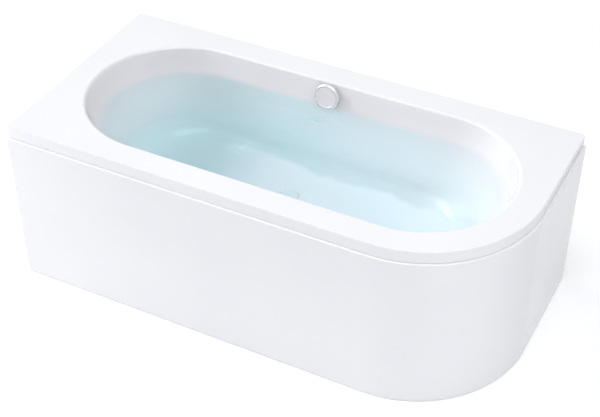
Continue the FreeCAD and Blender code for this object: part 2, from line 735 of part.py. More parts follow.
def plug(foot, bore, place):
    """The plug's cap, the stem that it is lifted by, and the seal that stands in the flange's bore."""
    cap, edge, stem = "dim.cap_radius", "dim.cap_edge", "dim.stem_radius"
    top, stem_top = f"({foot} + dim.cap_height)", f"({foot} + {edge})"
    turned("plug_cap",
           [(stem, foot), (cap, foot), (cap, f"({top} - {edge})"), (f"({cap} - {edge})", top), ("0", top),
            ("0", stem_top), (stem, stem_top)], **place)
    stem_foot, seal_foot = f"({foot} - dim.stem_length)", f"({foot} - dim.seal_height)"
    turned("plug_stem", [("0", stem_foot), (stem, stem_foot), (stem, stem_top), ("0", stem_top)], **place)
    seal = f"({bore} - dim.seal_gap)"
    ring("plug_seal", f"({seal} - dim.seal_width)", seal, seal_foot, foot, **place)


def waste_body(place):
    """The drain's housing below the floor, with ports for hose and cable and a spigot for the trap."""
    body = new_body("waste_body", **place)
    neck_bore = f"({FLANGE_TUBE} + dim.pipe_play)"
    neck, flange, chamber = f"({neck_bore} + dim.neck_wall)", "dim.waste_flange_radius", "dim.chamber_radius"
    flange_foot = f"({NECK_TOP} - dim.waste_flange_height)"
    revolve(body, [("0", SPIGOT_FOOT), (SPIGOT, SPIGOT_FOOT), (SPIGOT, CONE_FOOT), (chamber, CHAMBER_FOOT),
                   (chamber, NECK_FOOT), (neck, NECK_FOOT), (neck, flange_foot), (flange, flange_foot),
                   (flange, NECK_TOP), ("0", NECK_TOP)])
    port_level = "(-dim.port_drop)"
    pad(body, [("0", port_level, "dim.port_radius")], "(-dim.port_reach)", "0", "XZ_Plane")
    pad(body, [("dim.cable_offset", port_level, "dim.boss_radius")], "(-dim.boss_reach)", "0", "XZ_Plane")
    chamber_bore = f"({chamber} - dim.chamber_wall)"
    spigot_bore = f"({SPIGOT} - dim.spigot_wall)"
    inner_neck = f"({NECK_FOOT} - dim.chamber_wall)"
    revolve(body, [("0", SPIGOT_FOOT), (spigot_bore, SPIGOT_FOOT), (spigot_bore, CONE_FOOT),
                   (chamber_bore, CHAMBER_FOOT), (chamber_bore, inner_neck), (neck_bore, inner_neck),
                   (neck_bore, NECK_TOP), ("0", NECK_TOP)], cut=True)
    port_bore = ("0", port_level, "(dim.port_radius - dim.port_wall)")
    cable_bore = ("dim.cable_offset", port_level, "(dim.cable_radius + dim.pipe_play)")
    pocket(body, [port_bore, cable_bore], "(-dim.port_reach)", "0", "XZ_Plane")


def trap():
    """The bend that holds the water seal, its nuts and seal, and the outlet pipe."""
    body = new_body("trap_bend", x="dim.waste_x")
    bend, top = "dim.trap_bend_radius", f"({FLOOR_LEVEL} + {SPIGOT_FOOT} + dim.spigot_lap)"
    low = f"({top} - dim.trap_drop)"
    path = new_sketch(body, "YZ_Plane")
    outlet_start, tail = f"(3 * {bend})", f"(3 * {bend} + dim.trap_tail)"
    level = f"({low} + dim.trap_rise)"
    rise = f"({level} - {bend})"
    draw_path(path, [("0", top), ("0", low), (f"(2 * {bend})", low, bend, low, "left"),
                     (f"(2 * {bend})", rise), (outlet_start, level, outlet_start, rise, "right"),
                     (tail, level)])
    profile = fill(new_sketch(body, "XY_Plane", top),
                   [("0", "0", "dim.trap_radius"), ("0", "0", "(dim.trap_radius - dim.trap_wall)")])
    feature = body.newObject("PartDesign::AdditivePipe", "trap_bend_pipe")
    feature.Profile = profile
    feature.Spine = (path, [])
    place = {"x": "dim.waste_x"}
    over_trap, over_spigot = "(dim.trap_radius + dim.pipe_play)", f"({SPIGOT} + dim.pipe_play)"
    nut, seal_top = "dim.trap_nut_radius", f"({top} + dim.trap_seal_height)"
    nut_foot = f"({top} - dim.trap_nut_lap)"
    nut_top = f"({nut_foot} + dim.trap_nut_length)"
    turned("trap_nut_inlet", [(over_trap, nut_foot), (nut, nut_foot), (nut, nut_top), (over_spigot, nut_top),
                              (over_spigot, seal_top), (over_trap, seal_top)], **place)
    ring("trap_seal", over_spigot, "dim.trap_radius", top, seal_top, **place)
    outlet = {"x": "dim.waste_x", "y": tail, "z": level, "lean": "-90 deg"}
    pipe, spigot, bore = "dim.outlet_radius", "dim.outlet_spigot", "(dim.outlet_radius - dim.outlet_wall)"
    end, start = "(dim.trap_nut_length - dim.trap_nut_lap)", "(-dim.trap_nut_lap)"
    turned("outlet_pipe", [(bore, "0"), (spigot, "0"), (spigot, end), (pipe, end),
                           (pipe, "dim.outlet_length"), (bore, "dim.outlet_length")], **outlet)
    over_pipe = f"({spigot} + dim.pipe_play)"
    turned("trap_nut_outlet", [(over_trap, start), (nut, start), (nut, end), (over_pipe, end),
                               (over_pipe, "0"), (over_trap, "0")], **outlet)


def overflow_set():
    """Knob, rosette, gaskets and housing of the overflow, square to the sloping back wall."""
    place = {"x": "dim.waste_x", "y": OVERFLOW_Y, "z": OVERFLOW_Z, "lean": f"90 deg - {WALL_LEAN}"}
    sleeve, rim = RING_SLEEVE, "dim.ring_radius"
    bore = f"({sleeve} - dim.ring_sleeve_wall)"
    base, front = "dim.ring_gasket_height", "(dim.ring_gasket_height + dim.ring_height)"
    ring("ring_gasket", "dim.overflow_hole_radius", rim, "0", base, **place)
    guide = "(dim.spindle_radius + dim.spindle_play)"
    hub, tail = f"({base} - dim.ring_hub_height)", "(-dim.ring_sleeve_length)"
    rosette = turned("overflow_ring",
                     [(guide, hub), (bore, hub), (bore, tail), (sleeve, tail), (sleeve, base), (rim, base),
                      (rim, front), (bore, front), (bore, base), (guide, base)], **place)
    centres = on_circle("dim.ring_hole_circle", STRAINER_HOLES)
    pocket(rosette, [(x, y, "dim.ring_hole_radius") for x, y in centres], hub, base)
    back = f"({front} + dim.knob_gap)"
    face, edge = f"({back} + dim.knob_height)", "dim.knob_edge"
    knob, spindle = "dim.knob_radius", "dim.spindle_radius"
    hollow, wall = f"({back} + dim.knob_hollow)", f"({knob} - dim.knob_rim)"
    socket, shoulder = f"({hollow} + dim.knob_socket)", f"({face} - {edge})"
    low, waist = f"({back} + dim.knob_groove_level)", f"({knob} - dim.knob_groove_depth)"
    high, crown = f"({low} + dim.knob_groove_width)", f"({knob} - {edge})"
    dish, sunk = f"({crown} - dim.knob_dish_inset)", f"({face} - dim.knob_dish)"
    turned("overflow_knob",
           [("0", socket), (spindle, socket), (spindle, hollow), (wall, hollow), (wall, back), (knob, back),
            (knob, low), (waist, low), (waist, high), (knob, high), (knob, shoulder),
            (crown, face, crown, shoulder, "left"), (dish, face), (f"({dish} - dim.knob_dish)", sunk),
            ("0", sunk)], **place)
    drum_front = "(-dim.drum_depth)"
    drum_back = f"({drum_front} - dim.drum_height)"
    turned("knob_spindle", [("0", drum_back), ("dim.drum_radius", drum_back), ("dim.drum_radius", drum_front),
                            (spindle, drum_front), (spindle, socket), ("0", socket)], **place)
    wall_back, behind = f"(-{WALL_THICKNESS})", f"(-{WALL_THICKNESS} - dim.overflow_gasket_height)"
    ring("overflow_gasket", "dim.overflow_hole_radius", "dim.cup_flange_radius", behind, wall_back, **place)
    overflow_body(behind, place)


def overflow_body(front, place):
    """The cup behind the wall, with a spigot for the hose and a boss for the cable."""
    body = new_body("overflow_body", **place)
    cup, flange = "dim.cup_radius", "dim.cup_flange_radius"
    flange_back, end = f"({front} - dim.cup_flange_height)", f"({front} - dim.cup_length)"
    revolve(body, [("0", end), (cup, end), (cup, flange_back), (flange, flange_back), (flange, front),
                   ("0", front)])
    level = overflow_port_level()
    pad(body, [("0", level, "dim.port_radius")], "0", "dim.port_reach", "XZ_Plane")
    pad(body, [("dim.cable_offset", level, "dim.boss_radius")], "0", "dim.boss_reach", "XZ_Plane")
    neck, cavity = f"({RING_SLEEVE} + dim.pipe_play)", f"({cup} - dim.cup_wall)"
    sleeve_foot, bottom = "(-dim.ring_sleeve_length)", f"({end} + dim.cup_wall)"
    revolve(body, [("0", bottom), (cavity, bottom), (cavity, sleeve_foot), (neck, sleeve_foot), (neck, front),
                   ("0", front)], cut=True)
    port_bore = ("0", level, "(dim.port_radius - dim.port_wall)")
    cable_bore = ("dim.cable_offset", level, "(dim.cable_radius + dim.pipe_play)")
    pocket(body, [port_bore, cable_bore], "0", "dim.port_reach", "XZ_Plane")


def overflow_port_level():
    """How far behind the wall's inner face the hose leaves the overflow, along the knob's axis."""
    return f"(-{WALL_THICKNESS} - dim.overflow_gasket_height - dim.cup_length / 2 - dim.cup_flange_height)"


class Route:
    """A way down behind the back wall and, after one bend, in to the waste."""

    def __init__(self, aside, start_reach, end_reach, bend_radius):
        lean = math.radians(value(WALL_LEAN))
        self.down = Vector(0, -math.sin(lean), -math.cos(lean))
        self.inward = Vector(0, -1, 0)
        into_basin = Vector(0, -math.cos(lean), math.sin(lean))
        x = value(f"{RIM_X} + dim.waste_x + {aside}")
        wall_point = Vector(x, value(f"{RIM_Y} + {OVERFLOW_Y}"), value(OVERFLOW_Z))
        self.start = wall_point + into_basin * value(overflow_port_level()) + self.down * value(start_reach)
        self.end = Vector(x, value(f"{RIM_Y} + {end_reach}"), value(WASTE_PORT_Z))
        corner = self.start + self.down * ((self.start.z - self.end.z) / math.cos(lean))
        self.radius, self.turn = value(bend_radius), self.down.getAngle(self.inward)
        setback = self.radius * math.tan(self.turn / 2)
        self.before, self.after = corner - self.down * setback, corner + self.inward * setback
        self.centre = self.after + Vector(0, 0, self.radius)
        first, last = (self.before - self.start).Length, (self.end - self.after).Length
        self.lengths = (first, self.radius * self.turn, last)

    def at(self, distance):
        """The point and direction at a distance along the way."""
        first, bend, _ = self.lengths
        if distance <= first:
            return self.start + self.down * distance, self.down
        if distance >= first + bend:
            return self.after + self.inward * (distance - first - bend), self.inward
        angle = math.degrees((distance - first) / self.radius)
        swing = Rotation(Vector(1, 0, 0), -angle)
        return self.centre + swing.multVec(self.before - self.centre), swing.multVec(self.down)

    def wire(self):
        """The way as two straight runs and the arc between them."""
        middle, _ = self.at(self.lengths[0] + self.lengths[1] / 2)
        return Part.Wire([Part.LineSegment(self.start, self.before).toShape(),
                          Part.Arc(self.before, middle, self.after).toShape(),
                          Part.LineSegment(self.after, self.end).toShape()])

    def ring(self, distance, radius):
        """A circle square to the way, on a steady X axis."""
        centre, direction = self.at(distance)
        axes = Part.Circle(centre, direction, radius)
        axes.XAxis = Vector(1, 0, 0)
        return Part.Wire([axes.toShape()])

    def tube(self, radius):
        """A round bar along the way."""
        return self.wire().makePipeShell([self.ring(0, radius)], True, True)


def add_feature(label, shape):
    """A node whose shape is worked out from the sheet here."""
    node = doc.addObject("Part::Feature", label)
    node.Label = label
    node.Shape = shape
    pieces.append(node)


def overflow_hose():
    """The ribbed hose from the overflow to the waste, plain at both ends, where it laps the ports."""
    lapped = "(dim.port_reach - dim.hose_lap)"
    way = Route("0", lapped, lapped, "dim.hose_bend_radius")
    bore = value("dim.port_radius + dim.pipe_play")
    valley = bore + value("dim.hose_wall")
    crest, pitch, cuff = valley + value("dim.rib_height"), value("dim.rib_pitch"), value("dim.hose_cuff")
    length = sum(way.lengths)
    count = int((length - 2 * cuff) / pitch)
    first = (length - count * pitch) / 2
    rings = [way.ring(0, valley)]
    for index in range(count):
        for share, radius in RIB_SHARES:
            rings.append(way.ring(first + (index + share) * pitch, valley if radius == "valley" else crest))
    rings.append(way.ring(length, valley))
    outside = Part.makeLoft(rings, True, True)
    add_feature("overflow_hose", outside.cut(way.tube(bore)))


def hose_clips():
    """Bands that clamp the hose on both ports."""
    inner = "(dim.port_radius + dim.hose_wall + 2 * dim.pipe_play)"
    outer, width = f"({inner} + dim.hose_clip_wall)", "dim.hose_clip_width"
    reach = "(dim.port_reach - dim.hose_lap / 2)"
    level = overflow_port_level()
    y = f"({OVERFLOW_Y} - {level} * cos({WALL_LEAN}) - {reach} * sin({WALL_LEAN}))"
    z = f"({OVERFLOW_Z} + {level} * sin({WALL_LEAN}) - {reach} * cos({WALL_LEAN}))"
    ends = f"(-{width} / 2)", f"({width} / 2)"
    ring("hose_clip_upper", inner, outer, *ends, x="dim.waste_x", y=y, z=z, lean=f"180 deg - {WALL_LEAN}")
    ring("hose_clip_lower", inner, outer, *ends, x="dim.waste_x", y=reach, z=WASTE_PORT_Z, lean="-90 deg")


def control_cable():
    """The sheathed cable from the knob's drum to the plug, held in a boss at both ends."""
    lapped = "(dim.boss_reach - dim.cable_lap)"
    way = Route("dim.cable_offset", lapped, lapped, "dim.cable_bend_radius")
    add_feature("control_cable", way.tube(value("dim.cable_radius")))


for build in (bath_shell, front_panel, panel_clips, panel_floor_clips, base_board):
    build()
cradle("cradle_left", -1)
cradle("cradle_right", 1)
cradle_screws()
for foot_name, foot_x, foot_y in foot_places():
    levelling_foot(foot_name, foot_x, foot_y)
foot_nuts()
wall_bracket("wall_bracket_back_left", f"(-{BACK_BRACKET_SHARE} * dim.tub_length)", HALF_WIDTH, QUARTER_TURN)
wall_bracket("wall_bracket_back_right", f"({BACK_BRACKET_SHARE} * dim.tub_length)", HALF_WIDTH, QUARTER_TURN)
bracket_y = f"({END_BRACKET_SHARE} * dim.tub_width)"
wall_bracket("wall_bracket_end", f"(-{HALF_LENGTH})", bracket_y, 2 * QUARTER_TURN)
waste_set()
trap()
overflow_set()
overflow_hose()
hose_clips()
control_cable()

doc.recompute()
for item in doc.Objects:
    if "Invalid" in item.State or "Error" in item.State:
        raise RuntimeError(f"{item.Label} failed: {item.State}")
for piece in pieces:
    if piece.Shape.isNull() or not piece.Shape.isValid():
        raise RuntimeError(f"{piece.Label} has no valid shape")

os.makedirs("parts", exist_ok=True)
for piece in pieces:
    piece.Shape.exportStep(f"parts/{piece.Label}.step")
    print(f"{piece.Label}: {len(piece.Shape.Solids)} solids, {piece.Shape.Volume:.0f} mm3")
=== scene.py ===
"""White bath with one rounded corner, its panel, underframe and drain set, dressed for a studio picture.

Every length is in metres, in the part's own frame: X runs along the bath, Y from the open front to the wall
behind it, and Z up from the floor.
"""

import logging
import math
from collections.abc import Iterable, Sequence
from dataclasses import dataclass
from enum import Enum
from functools import cache
from typing import TypeVar

import bmesh
import bpy
from bmesh.types import BMEdge, BMesh, BMFace, BMVert
from bpy.types import ID, Material, Mesh, Node, NodeSocket, NodeTree, Object
from mathutils import Matrix, Vector


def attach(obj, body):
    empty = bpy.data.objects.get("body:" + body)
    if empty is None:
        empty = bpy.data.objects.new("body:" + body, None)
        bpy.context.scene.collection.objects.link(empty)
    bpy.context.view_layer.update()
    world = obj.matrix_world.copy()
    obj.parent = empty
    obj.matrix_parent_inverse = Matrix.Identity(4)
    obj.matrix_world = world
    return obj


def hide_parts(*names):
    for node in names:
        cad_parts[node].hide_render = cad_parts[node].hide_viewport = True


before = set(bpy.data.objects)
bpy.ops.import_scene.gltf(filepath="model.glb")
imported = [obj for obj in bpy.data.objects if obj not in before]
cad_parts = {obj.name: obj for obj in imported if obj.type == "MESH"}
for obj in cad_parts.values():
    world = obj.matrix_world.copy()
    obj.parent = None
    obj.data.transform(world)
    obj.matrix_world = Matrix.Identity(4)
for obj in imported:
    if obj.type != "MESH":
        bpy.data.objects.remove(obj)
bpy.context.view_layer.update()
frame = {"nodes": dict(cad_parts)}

log = logging.getLogger("bath")

Colour = tuple[float, float, float]
Point = tuple[float, float, float]
Span = tuple[float, float]
Stops = Sequence[tuple[float, Colour]]
Source = NodeSocket | float | tuple[float, ...]
Part = BMVert | BMEdge | BMFace
Kind = TypeVar("Kind", BMVert, BMEdge, BMFace)

MERGE = 1e-6
FULL = 2 * math.pi
HALF = math.pi
QUARTER = math.pi / 2
ORIGIN = (0, 0, 0)
ALONG = (1, 0, 0)
UP = (0, 0, 1)
EVEN = (1, 1, 1)
SHARE = (0.0, 1.0)
NOISE_RANGE = (0.3, 0.7)
CREASE = 35.0


class Body(Enum):
    """The bodies of the jointed part that a new piece rides on."""

    BATH = "bath"
    FRONT_LEFT = "foot_front_left"
    FRONT_RIGHT = "foot_front_right"
    BACK_LEFT = "foot_back_left"
    BACK_RIGHT = "foot_back_right"


class Slot(Enum):
    """The names of the record's material slots."""

    ACRYLIC = "acrylic"
    PANEL = "panel"
    STEEL = "steel"
    HOSE = "hose"
    CABLE = "cable"
    TRAP = "trap"


class Sum(Enum):
    """What a math node works out."""

    PLUS = "ADD"
    LESS = "SUBTRACT"
    TIMES = "MULTIPLY"
    LARGER = "MAXIMUM"
    SIZE = "ABSOLUTE"


class Blend(Enum):
    """How one colour goes into another."""

    OVER = "MIX"
    TINT = "MULTIPLY"


Foot = tuple[Body, float, float]


# Finishes


@dataclass(frozen=True)
class Grain:
    """A texture's size and lie: lumps to the metre, octaves of finer lumps, stretch and turn."""

    scale: float
    detail: float = 2.0
    stretch: Point = EVEN
    turn: Point = ORIGIN


class Wiring:
    """Short calls that add nodes to a tree and link them."""

    def __init__(self, tree: NodeTree) -> None:
        """Take up a node tree."""
        self.tree = tree

    def feed(self, target: NodeSocket, source: Source) -> None:
        """Feed one input.

        Args:
            target: the input.
            source: another node's output, or a plain value.
        """
        if isinstance(source, NodeSocket):
            self.tree.links.new(source, target)
        else:
            target.default_value = (*source, 1.0) if target.type == "RGBA" else source

    def fill(self, node: Node, **named: Source) -> None:
        """Feed inputs of a node by their names, with _ for a space."""
        for key, source in named.items():
            self.feed(node.inputs[key.replace("_", " ")], source)

    def add(self, kind: str, *ordered: Source, **named: Source) -> Node:
        """Add a node and feed it.

        Args:
            kind: the node's type, without what all shader nodes start with.
            ordered: what feeds its first inputs, in order.
            named: what feeds others, by their names.

        Returns:
            The new node.
        """
        node = self.tree.nodes.new(f"ShaderNode{kind}")
        for target, source in zip(node.inputs, ordered):
            self.feed(target, source)
        self.fill(node, **named)
        return node

    def reckon(self, how: Sum, first: NodeSocket, second: NodeSocket | float = 0.0) -> NodeSocket:
        """Reckon with two numbers.

        Args:
            how: what to work out.
            first: the first number.
            second: the second one, from another node or plain.

        Returns:
            The result.
        """
        node = self.add("Math", first, second)
        node.operation = how.value
        return node.outputs["Value"]

    def showing(self) -> NodeSocket:
        """Tell the rays that show the backdrop from those that light the bath.

        Returns:
            1 for a ray that shows it, straight or in metal and glass, else 0.
        """
        path = self.add("LightPath").outputs
        mirrored = self.reckon(Sum.LARGER, path["Is Glossy Ray"], path["Is Transmission Ray"])
        return self.reckon(Sum.LARGER, path["Is Camera Ray"], mirrored)


class Recipe(Wiring):
    """One procedural material: a Principled surface whose textures read the object's own coordinates."""

    def __init__(self, name: str) -> None:
        """Start the material.

        Args:
            name: the material's name.
        """
        self.material = bpy.data.materials.new(name)
        self.material.use_nodes = True
        super().__init__(self.material.node_tree)
        self.surface = self.tree.nodes["Principled BSDF"]
        self.output = self.tree.nodes["Material Output"]
        self.place = self.add("TexCoord").outputs["Object"]

    def set(self, **named: Source) -> None:
        """Feed inputs of the surface by their names, with _ for a space."""
        self.fill(self.surface, **named)

    def lie(self, grain: Grain) -> NodeSocket:
        """Give the coordinates that a grain's texture reads.

        Args:
            grain: the grain.

        Returns:
            The object's coordinates, stretched and turned where the grain is.
        """
        if (grain.stretch, grain.turn) == (EVEN, ORIGIN):
            return self.place
        mapping = self.add("Mapping", Vector=self.place, Rotation=grain.turn, Scale=grain.stretch)
        return mapping.outputs["Vector"]

    def noise(self, grain: Grain) -> NodeSocket:
        """Add a noise texture, whose values lie around a half."""
        node = self.add("TexNoise", Vector=self.lie(grain), Scale=grain.scale, Detail=grain.detail)
        return node.outputs["Fac"]

    def cells(self, grain: Grain) -> NodeSocket:
        """Add a texture of cells, each with a colour of its own."""
        return self.add("TexVoronoi", Vector=self.lie(grain), Scale=grain.scale).outputs["Color"]

    def ramp(self, source: NodeSocket, stops: Stops) -> NodeSocket:
        """Turn a number into a colour.

        Args:
            source: the number.
            stops: places from 0 to 1 and their colours, in order.

        Returns:
            The colour.
        """
        node = self.add("ValToRGB", source)
        node.color_ramp.interpolation = "EASE"
        elements = node.color_ramp.elements
        while len(elements) < len(stops):
            elements.new(1.0)
        for element, (place, colour) in zip(elements, stops):
            element.position = place
            element.color = (*colour, 1.0)
        return node.outputs["Color"]

    def tones(self, source: NodeSocket, dark: Colour, light: Colour, given: Span = NOISE_RANGE) -> NodeSocket:
        """Colour a span of numbers, the middle range of a noise if none is given, from dark to light."""
        return self.ramp(source, list(zip(given, (dark, light))))

    def between(self, source: NodeSocket, wanted: Span, given: Span = NOISE_RANGE) -> NodeSocket:
        """Map a span of numbers, the middle range of a noise if none is given, onto another."""
        return self.add("MapRange", source, *given, *wanted).outputs["Result"]

    def ease(self, source: NodeSocket, span: Span, low: float = 0.0) -> NodeSocket:
        """Ease up to 1 while a number crosses a span.

        Args:
            source: the number.
            span: its values where the ease starts and where it has come to 1.
            low: what the ease starts from.

        Returns:
            The eased share.
        """
        node = self.add("MapRange", source, *span, low)
        node.interpolation_type = "SMOOTHSTEP"
        return node.outputs["Result"]

    def away(self, point: Point, place: NodeSocket | None = None) -> NodeSocket:
        """Measure a distance.

        Args:
            point: the point to measure from.
            place: the place to measure to, the object's own coordinates if none is given.

        Returns:
            The distance.
        """
        node = self.add("VectorMath", place or self.place, point)
        node.operation = "DISTANCE"
        return node.outputs["Value"]

    def mix(self, share: NodeSocket, first: Source, second: Source, blend: Blend = Blend.OVER) -> NodeSocket:
        """Mix a share of one colour into another.

        Args:
            share: how much of the second colour.
            first: the first colour.
            second: the second colour.
            blend: how they mix.

        Returns:
            The mixed colour.
        """
        node = self.add("MixRGB", share, first, second)
        node.blend_type = blend.value
        return node.outputs["Color"]

    def bump(self, height: NodeSocket, relief: Span) -> NodeSocket:
        """Raise the surface a little.

        Args:
            height: the relief, from 0 to 1.
            relief: how much of it shows, and what a height of 1 stands for in metres.

        Returns:
            The raised normal.
        """
        strength, depth = relief
        return self.add("Bump", Strength=strength, Distance=depth, Height=height).outputs["Normal"]


@dataclass(frozen=True)
class Finish:
    """What a piece is made of or coated with."""

    name: str

    def wire(self, recipe: Recipe) -> None:
        """Wire the finish into its recipe."""
        raise NotImplementedError


@cache
def mixed(finish: Finish) -> Material:
    """Mix a finish on its first use, so that pieces of the same finish share its material.

    Args:
        finish: the finish.

    Returns:
        Its material.
    """
    recipe = Recipe(finish.name)
    finish.wire(recipe)
    return recipe.material


@dataclass(frozen=True)
class GlossAcrylic(Finish):
    """White sanitary acrylic: a hard gloss with the faint unevenness of a moulded sheet."""

    name: str = "gloss_acrylic"
    shade: Colour = (0.893, 0.891, 0.91)
    light: Colour = (0.91, 0.91, 0.925)
    cloud: Grain = Grain(3.0)
    sheen: Grain = Grain(9.0)
    gloss: Span = (0.05, 0.09)
    waves: Grain = Grain(60.0, 1.0)
    relief: Span = (0.012, 0.001)
    ior: float = 1.49

    def wire(self, recipe: Recipe) -> None:
        """Wire the sheet's faint clouds and waves."""
        recipe.set(
            IOR=self.ior,
            Base_Color=recipe.tones(recipe.noise(self.cloud), self.shade, self.light),
            Roughness=recipe.between(recipe.noise(self.sheen), self.gloss),
            Normal=recipe.bump(recipe.noise(self.waves), self.relief),
        )


@dataclass(frozen=True)
class FibreBacking(Finish):
    """Sprayed glass-fibre backing of the sheet: matt, off-white, with chopped strands under the resin."""

    name: str = "fibre_backing"
    pool: Colour = (0.60, 0.57, 0.47)
    resin: Colour = (0.70, 0.68, 0.60)
    strand: Colour = (0.82, 0.81, 0.75)
    levels: tuple[float, ...] = (0.42, 0.52, 0.66)
    lays: tuple[Grain, Grain] = (
        Grain(90.0, 3.0, (1, 9, 5), (0.3, 0.2, 0.6)),
        Grain(80.0, 3.0, (9, 1, 5), (0.1, 0.5, -0.4)),
    )
    sheen: Grain = Grain(20.0)
    gloss: Span = (0.45, 0.7)
    relief: Span = (0.5, 0.0012)

    def wire(self, recipe: Recipe) -> None:
        """Wire strands that lie both ways, with pools of resin between them."""
        height = recipe.reckon(Sum.LARGER, *(recipe.noise(lay) for lay in self.lays))
        recipe.set(
            Base_Color=recipe.ramp(height, list(zip(self.levels, (self.pool, self.resin, self.strand)))),
            Roughness=recipe.between(recipe.noise(self.sheen), self.gloss),
            Normal=recipe.bump(height, self.relief),
        )


@dataclass(frozen=True)
class Chipboard(Finish):
    """Bare chipboard: wood flakes of several browns, pressed flat."""

    name: str = "chipboard"
    browns: Stops = (
        (0.10, (0.33, 0.20, 0.10)),
        (0.35, (0.55, 0.38, 0.21)),
        (0.60, (0.64, 0.47, 0.29)),
        (0.85, (0.74, 0.59, 0.40)),
    )
    flakes: Grain = Grain(230.0, stretch=(1, 2.2, 1.6), turn=(0.0, 0.0, 0.5))
    sheen: Grain = Grain(70.0)
    gloss: Span = (0.7, 0.9)
    chips: Grain = Grain(420.0, 4.0)
    relief: Span = (0.4, 0.0008)

    def wire(self, recipe: Recipe) -> None:
        """Wire the flakes and their chipped face."""
        recipe.set(
            Base_Color=recipe.ramp(recipe.cells(self.flakes), self.browns),
            Roughness=recipe.between(recipe.noise(self.sheen), self.gloss),
            Normal=recipe.bump(recipe.noise(self.chips), self.relief),
        )


@dataclass(frozen=True)
class ZincSheet(Finish):
    """Hot-dipped zinc on folded steel, with its pattern of crystals."""

    name: str = "zinc_sheet"
    dark: Colour = (0.47, 0.49, 0.51)
    light: Colour = (0.66, 0.68, 0.70)
    crystals: Grain = Grain(110.0)
    crystal_range: Span = (0.15, 0.85)
    gloss: Span = (0.34, 0.5)
    dimples: Grain = Grain(300.0)
    relief: Span = (0.08, 0.0005)

    def wire(self, recipe: Recipe) -> None:
        """Wire crystals that differ in colour and in gloss."""
        crystals = recipe.cells(self.crystals)
        recipe.set(
            Metallic=1.0,
            Base_Color=recipe.tones(crystals, self.dark, self.light, self.crystal_range),
            Roughness=recipe.between(crystals, self.gloss),
            Normal=recipe.bump(recipe.noise(self.dimples), self.relief),
        )


@dataclass(frozen=True)
class SmoothMetal(Finish):
    """Polished, satin or turned metal with a trace of handling."""

    dark: Colour
    light: Colour
    gloss: Span
    cloud: Grain = Grain(30.0)
    sheen: Grain = Grain(110.0, 4.0)
    metal: float = 1.0

    def wire(self, recipe: Recipe) -> None:
        """Wire the metal's clouds and sheen."""
        recipe.set(
            Metallic=self.metal,
            Base_Color=recipe.tones(recipe.noise(self.cloud), self.dark, self.light),
            Roughness=recipe.between(recipe.noise(self.sheen), self.gloss),
        )


@dataclass(frozen=True)
class BrightSteel(SmoothMetal):
    """Bright plated steel of rods, nuts, screws and clips."""

    name: str = "bright_steel"
    dark: Colour = (0.58, 0.59, 0.60)
    light: Colour = (0.74, 0.75, 0.76)
    gloss: Span = (0.2, 0.36)
    cloud: Grain = Grain(40.0, 4.0)
    sheen: Grain = Grain(140.0, 3.0)
    marks: Grain = Grain(900.0)
    relief: Span = (0.05, 0.0003)

    def wire(self, recipe: Recipe) -> None:
        """Wire the metal, and fine tool marks on it."""
        super().wire(recipe)
        recipe.set(Normal=recipe.bump(recipe.noise(self.marks), self.relief))


@dataclass(frozen=True)
class SatinFace(Finish):
    """Chrome plating that is brushed to a satin inside a polished edge."""

    name: str = "satin_faced_chrome"
    dark: Colour = (0.90, 0.845, 0.855)
    light: Colour = (0.93, 0.885, 0.895)
    edge_dark: Colour = (0.74, 0.73, 0.74)
    edge_light: Colour = (0.80, 0.79, 0.80)
    cloud: Grain = Grain(30.0)
    sheen: Grain = Grain(110.0, 4.0)
    gloss: Span = (0.28, 0.38)
    edge_gloss_share: float = 0.45
    metal: float = 0.55
    face_metal_share: float = 0.36
    centre: Point = (-0.029, 0.2833, 0.5784)
    edge: Span = (0.037, 0.040)

    def wire(self, recipe: Recipe) -> None:
        """Wire the face and the edge, told apart by their distance from the middle.

        Args:
            recipe: the finish's recipe.
        """
        out = recipe.away(self.centre)
        cloud = recipe.noise(self.cloud)
        face = recipe.tones(cloud, self.dark, self.light)
        edge = recipe.tones(cloud, self.edge_dark, self.edge_light)
        satin = recipe.between(recipe.noise(self.sheen), self.gloss)
        polish = recipe.ease(out, self.edge[::-1], self.edge_gloss_share)
        plating = recipe.ease(out, self.edge, self.face_metal_share)
        recipe.set(
            Metallic=recipe.reckon(Sum.TIMES, plating, self.metal),
            Base_Color=recipe.mix(recipe.ease(out, self.edge), face, edge),
            Roughness=recipe.reckon(Sum.TIMES, satin, polish),
        )


@dataclass(frozen=True)
class MouldedPlastic(Finish):
    """Injection-moulded plastic with a fine grain and a soft sheen."""

    colour: Colour
    cloud_share: float = 0.08
    gloss: Span = (0.32, 0.46)
    cloud: Grain = Grain(25.0, 3.0)
    sheen: Grain = Grain(80.0)
    grain: Grain = Grain(1500.0)
    relief: Span = (0.08, 0.0003)
    ior: float = 1.5

    def wire(self, recipe: Recipe) -> None:
        """Wire the plastic's clouds and grain."""
        dark = tuple(part * (1 - self.cloud_share) for part in self.colour)
        recipe.set(
            IOR=self.ior,
            Base_Color=recipe.tones(recipe.noise(self.cloud), dark, self.colour),
            Roughness=recipe.between(recipe.noise(self.sheen), self.gloss),
            Normal=recipe.bump(recipe.noise(self.grain), self.relief),
        )


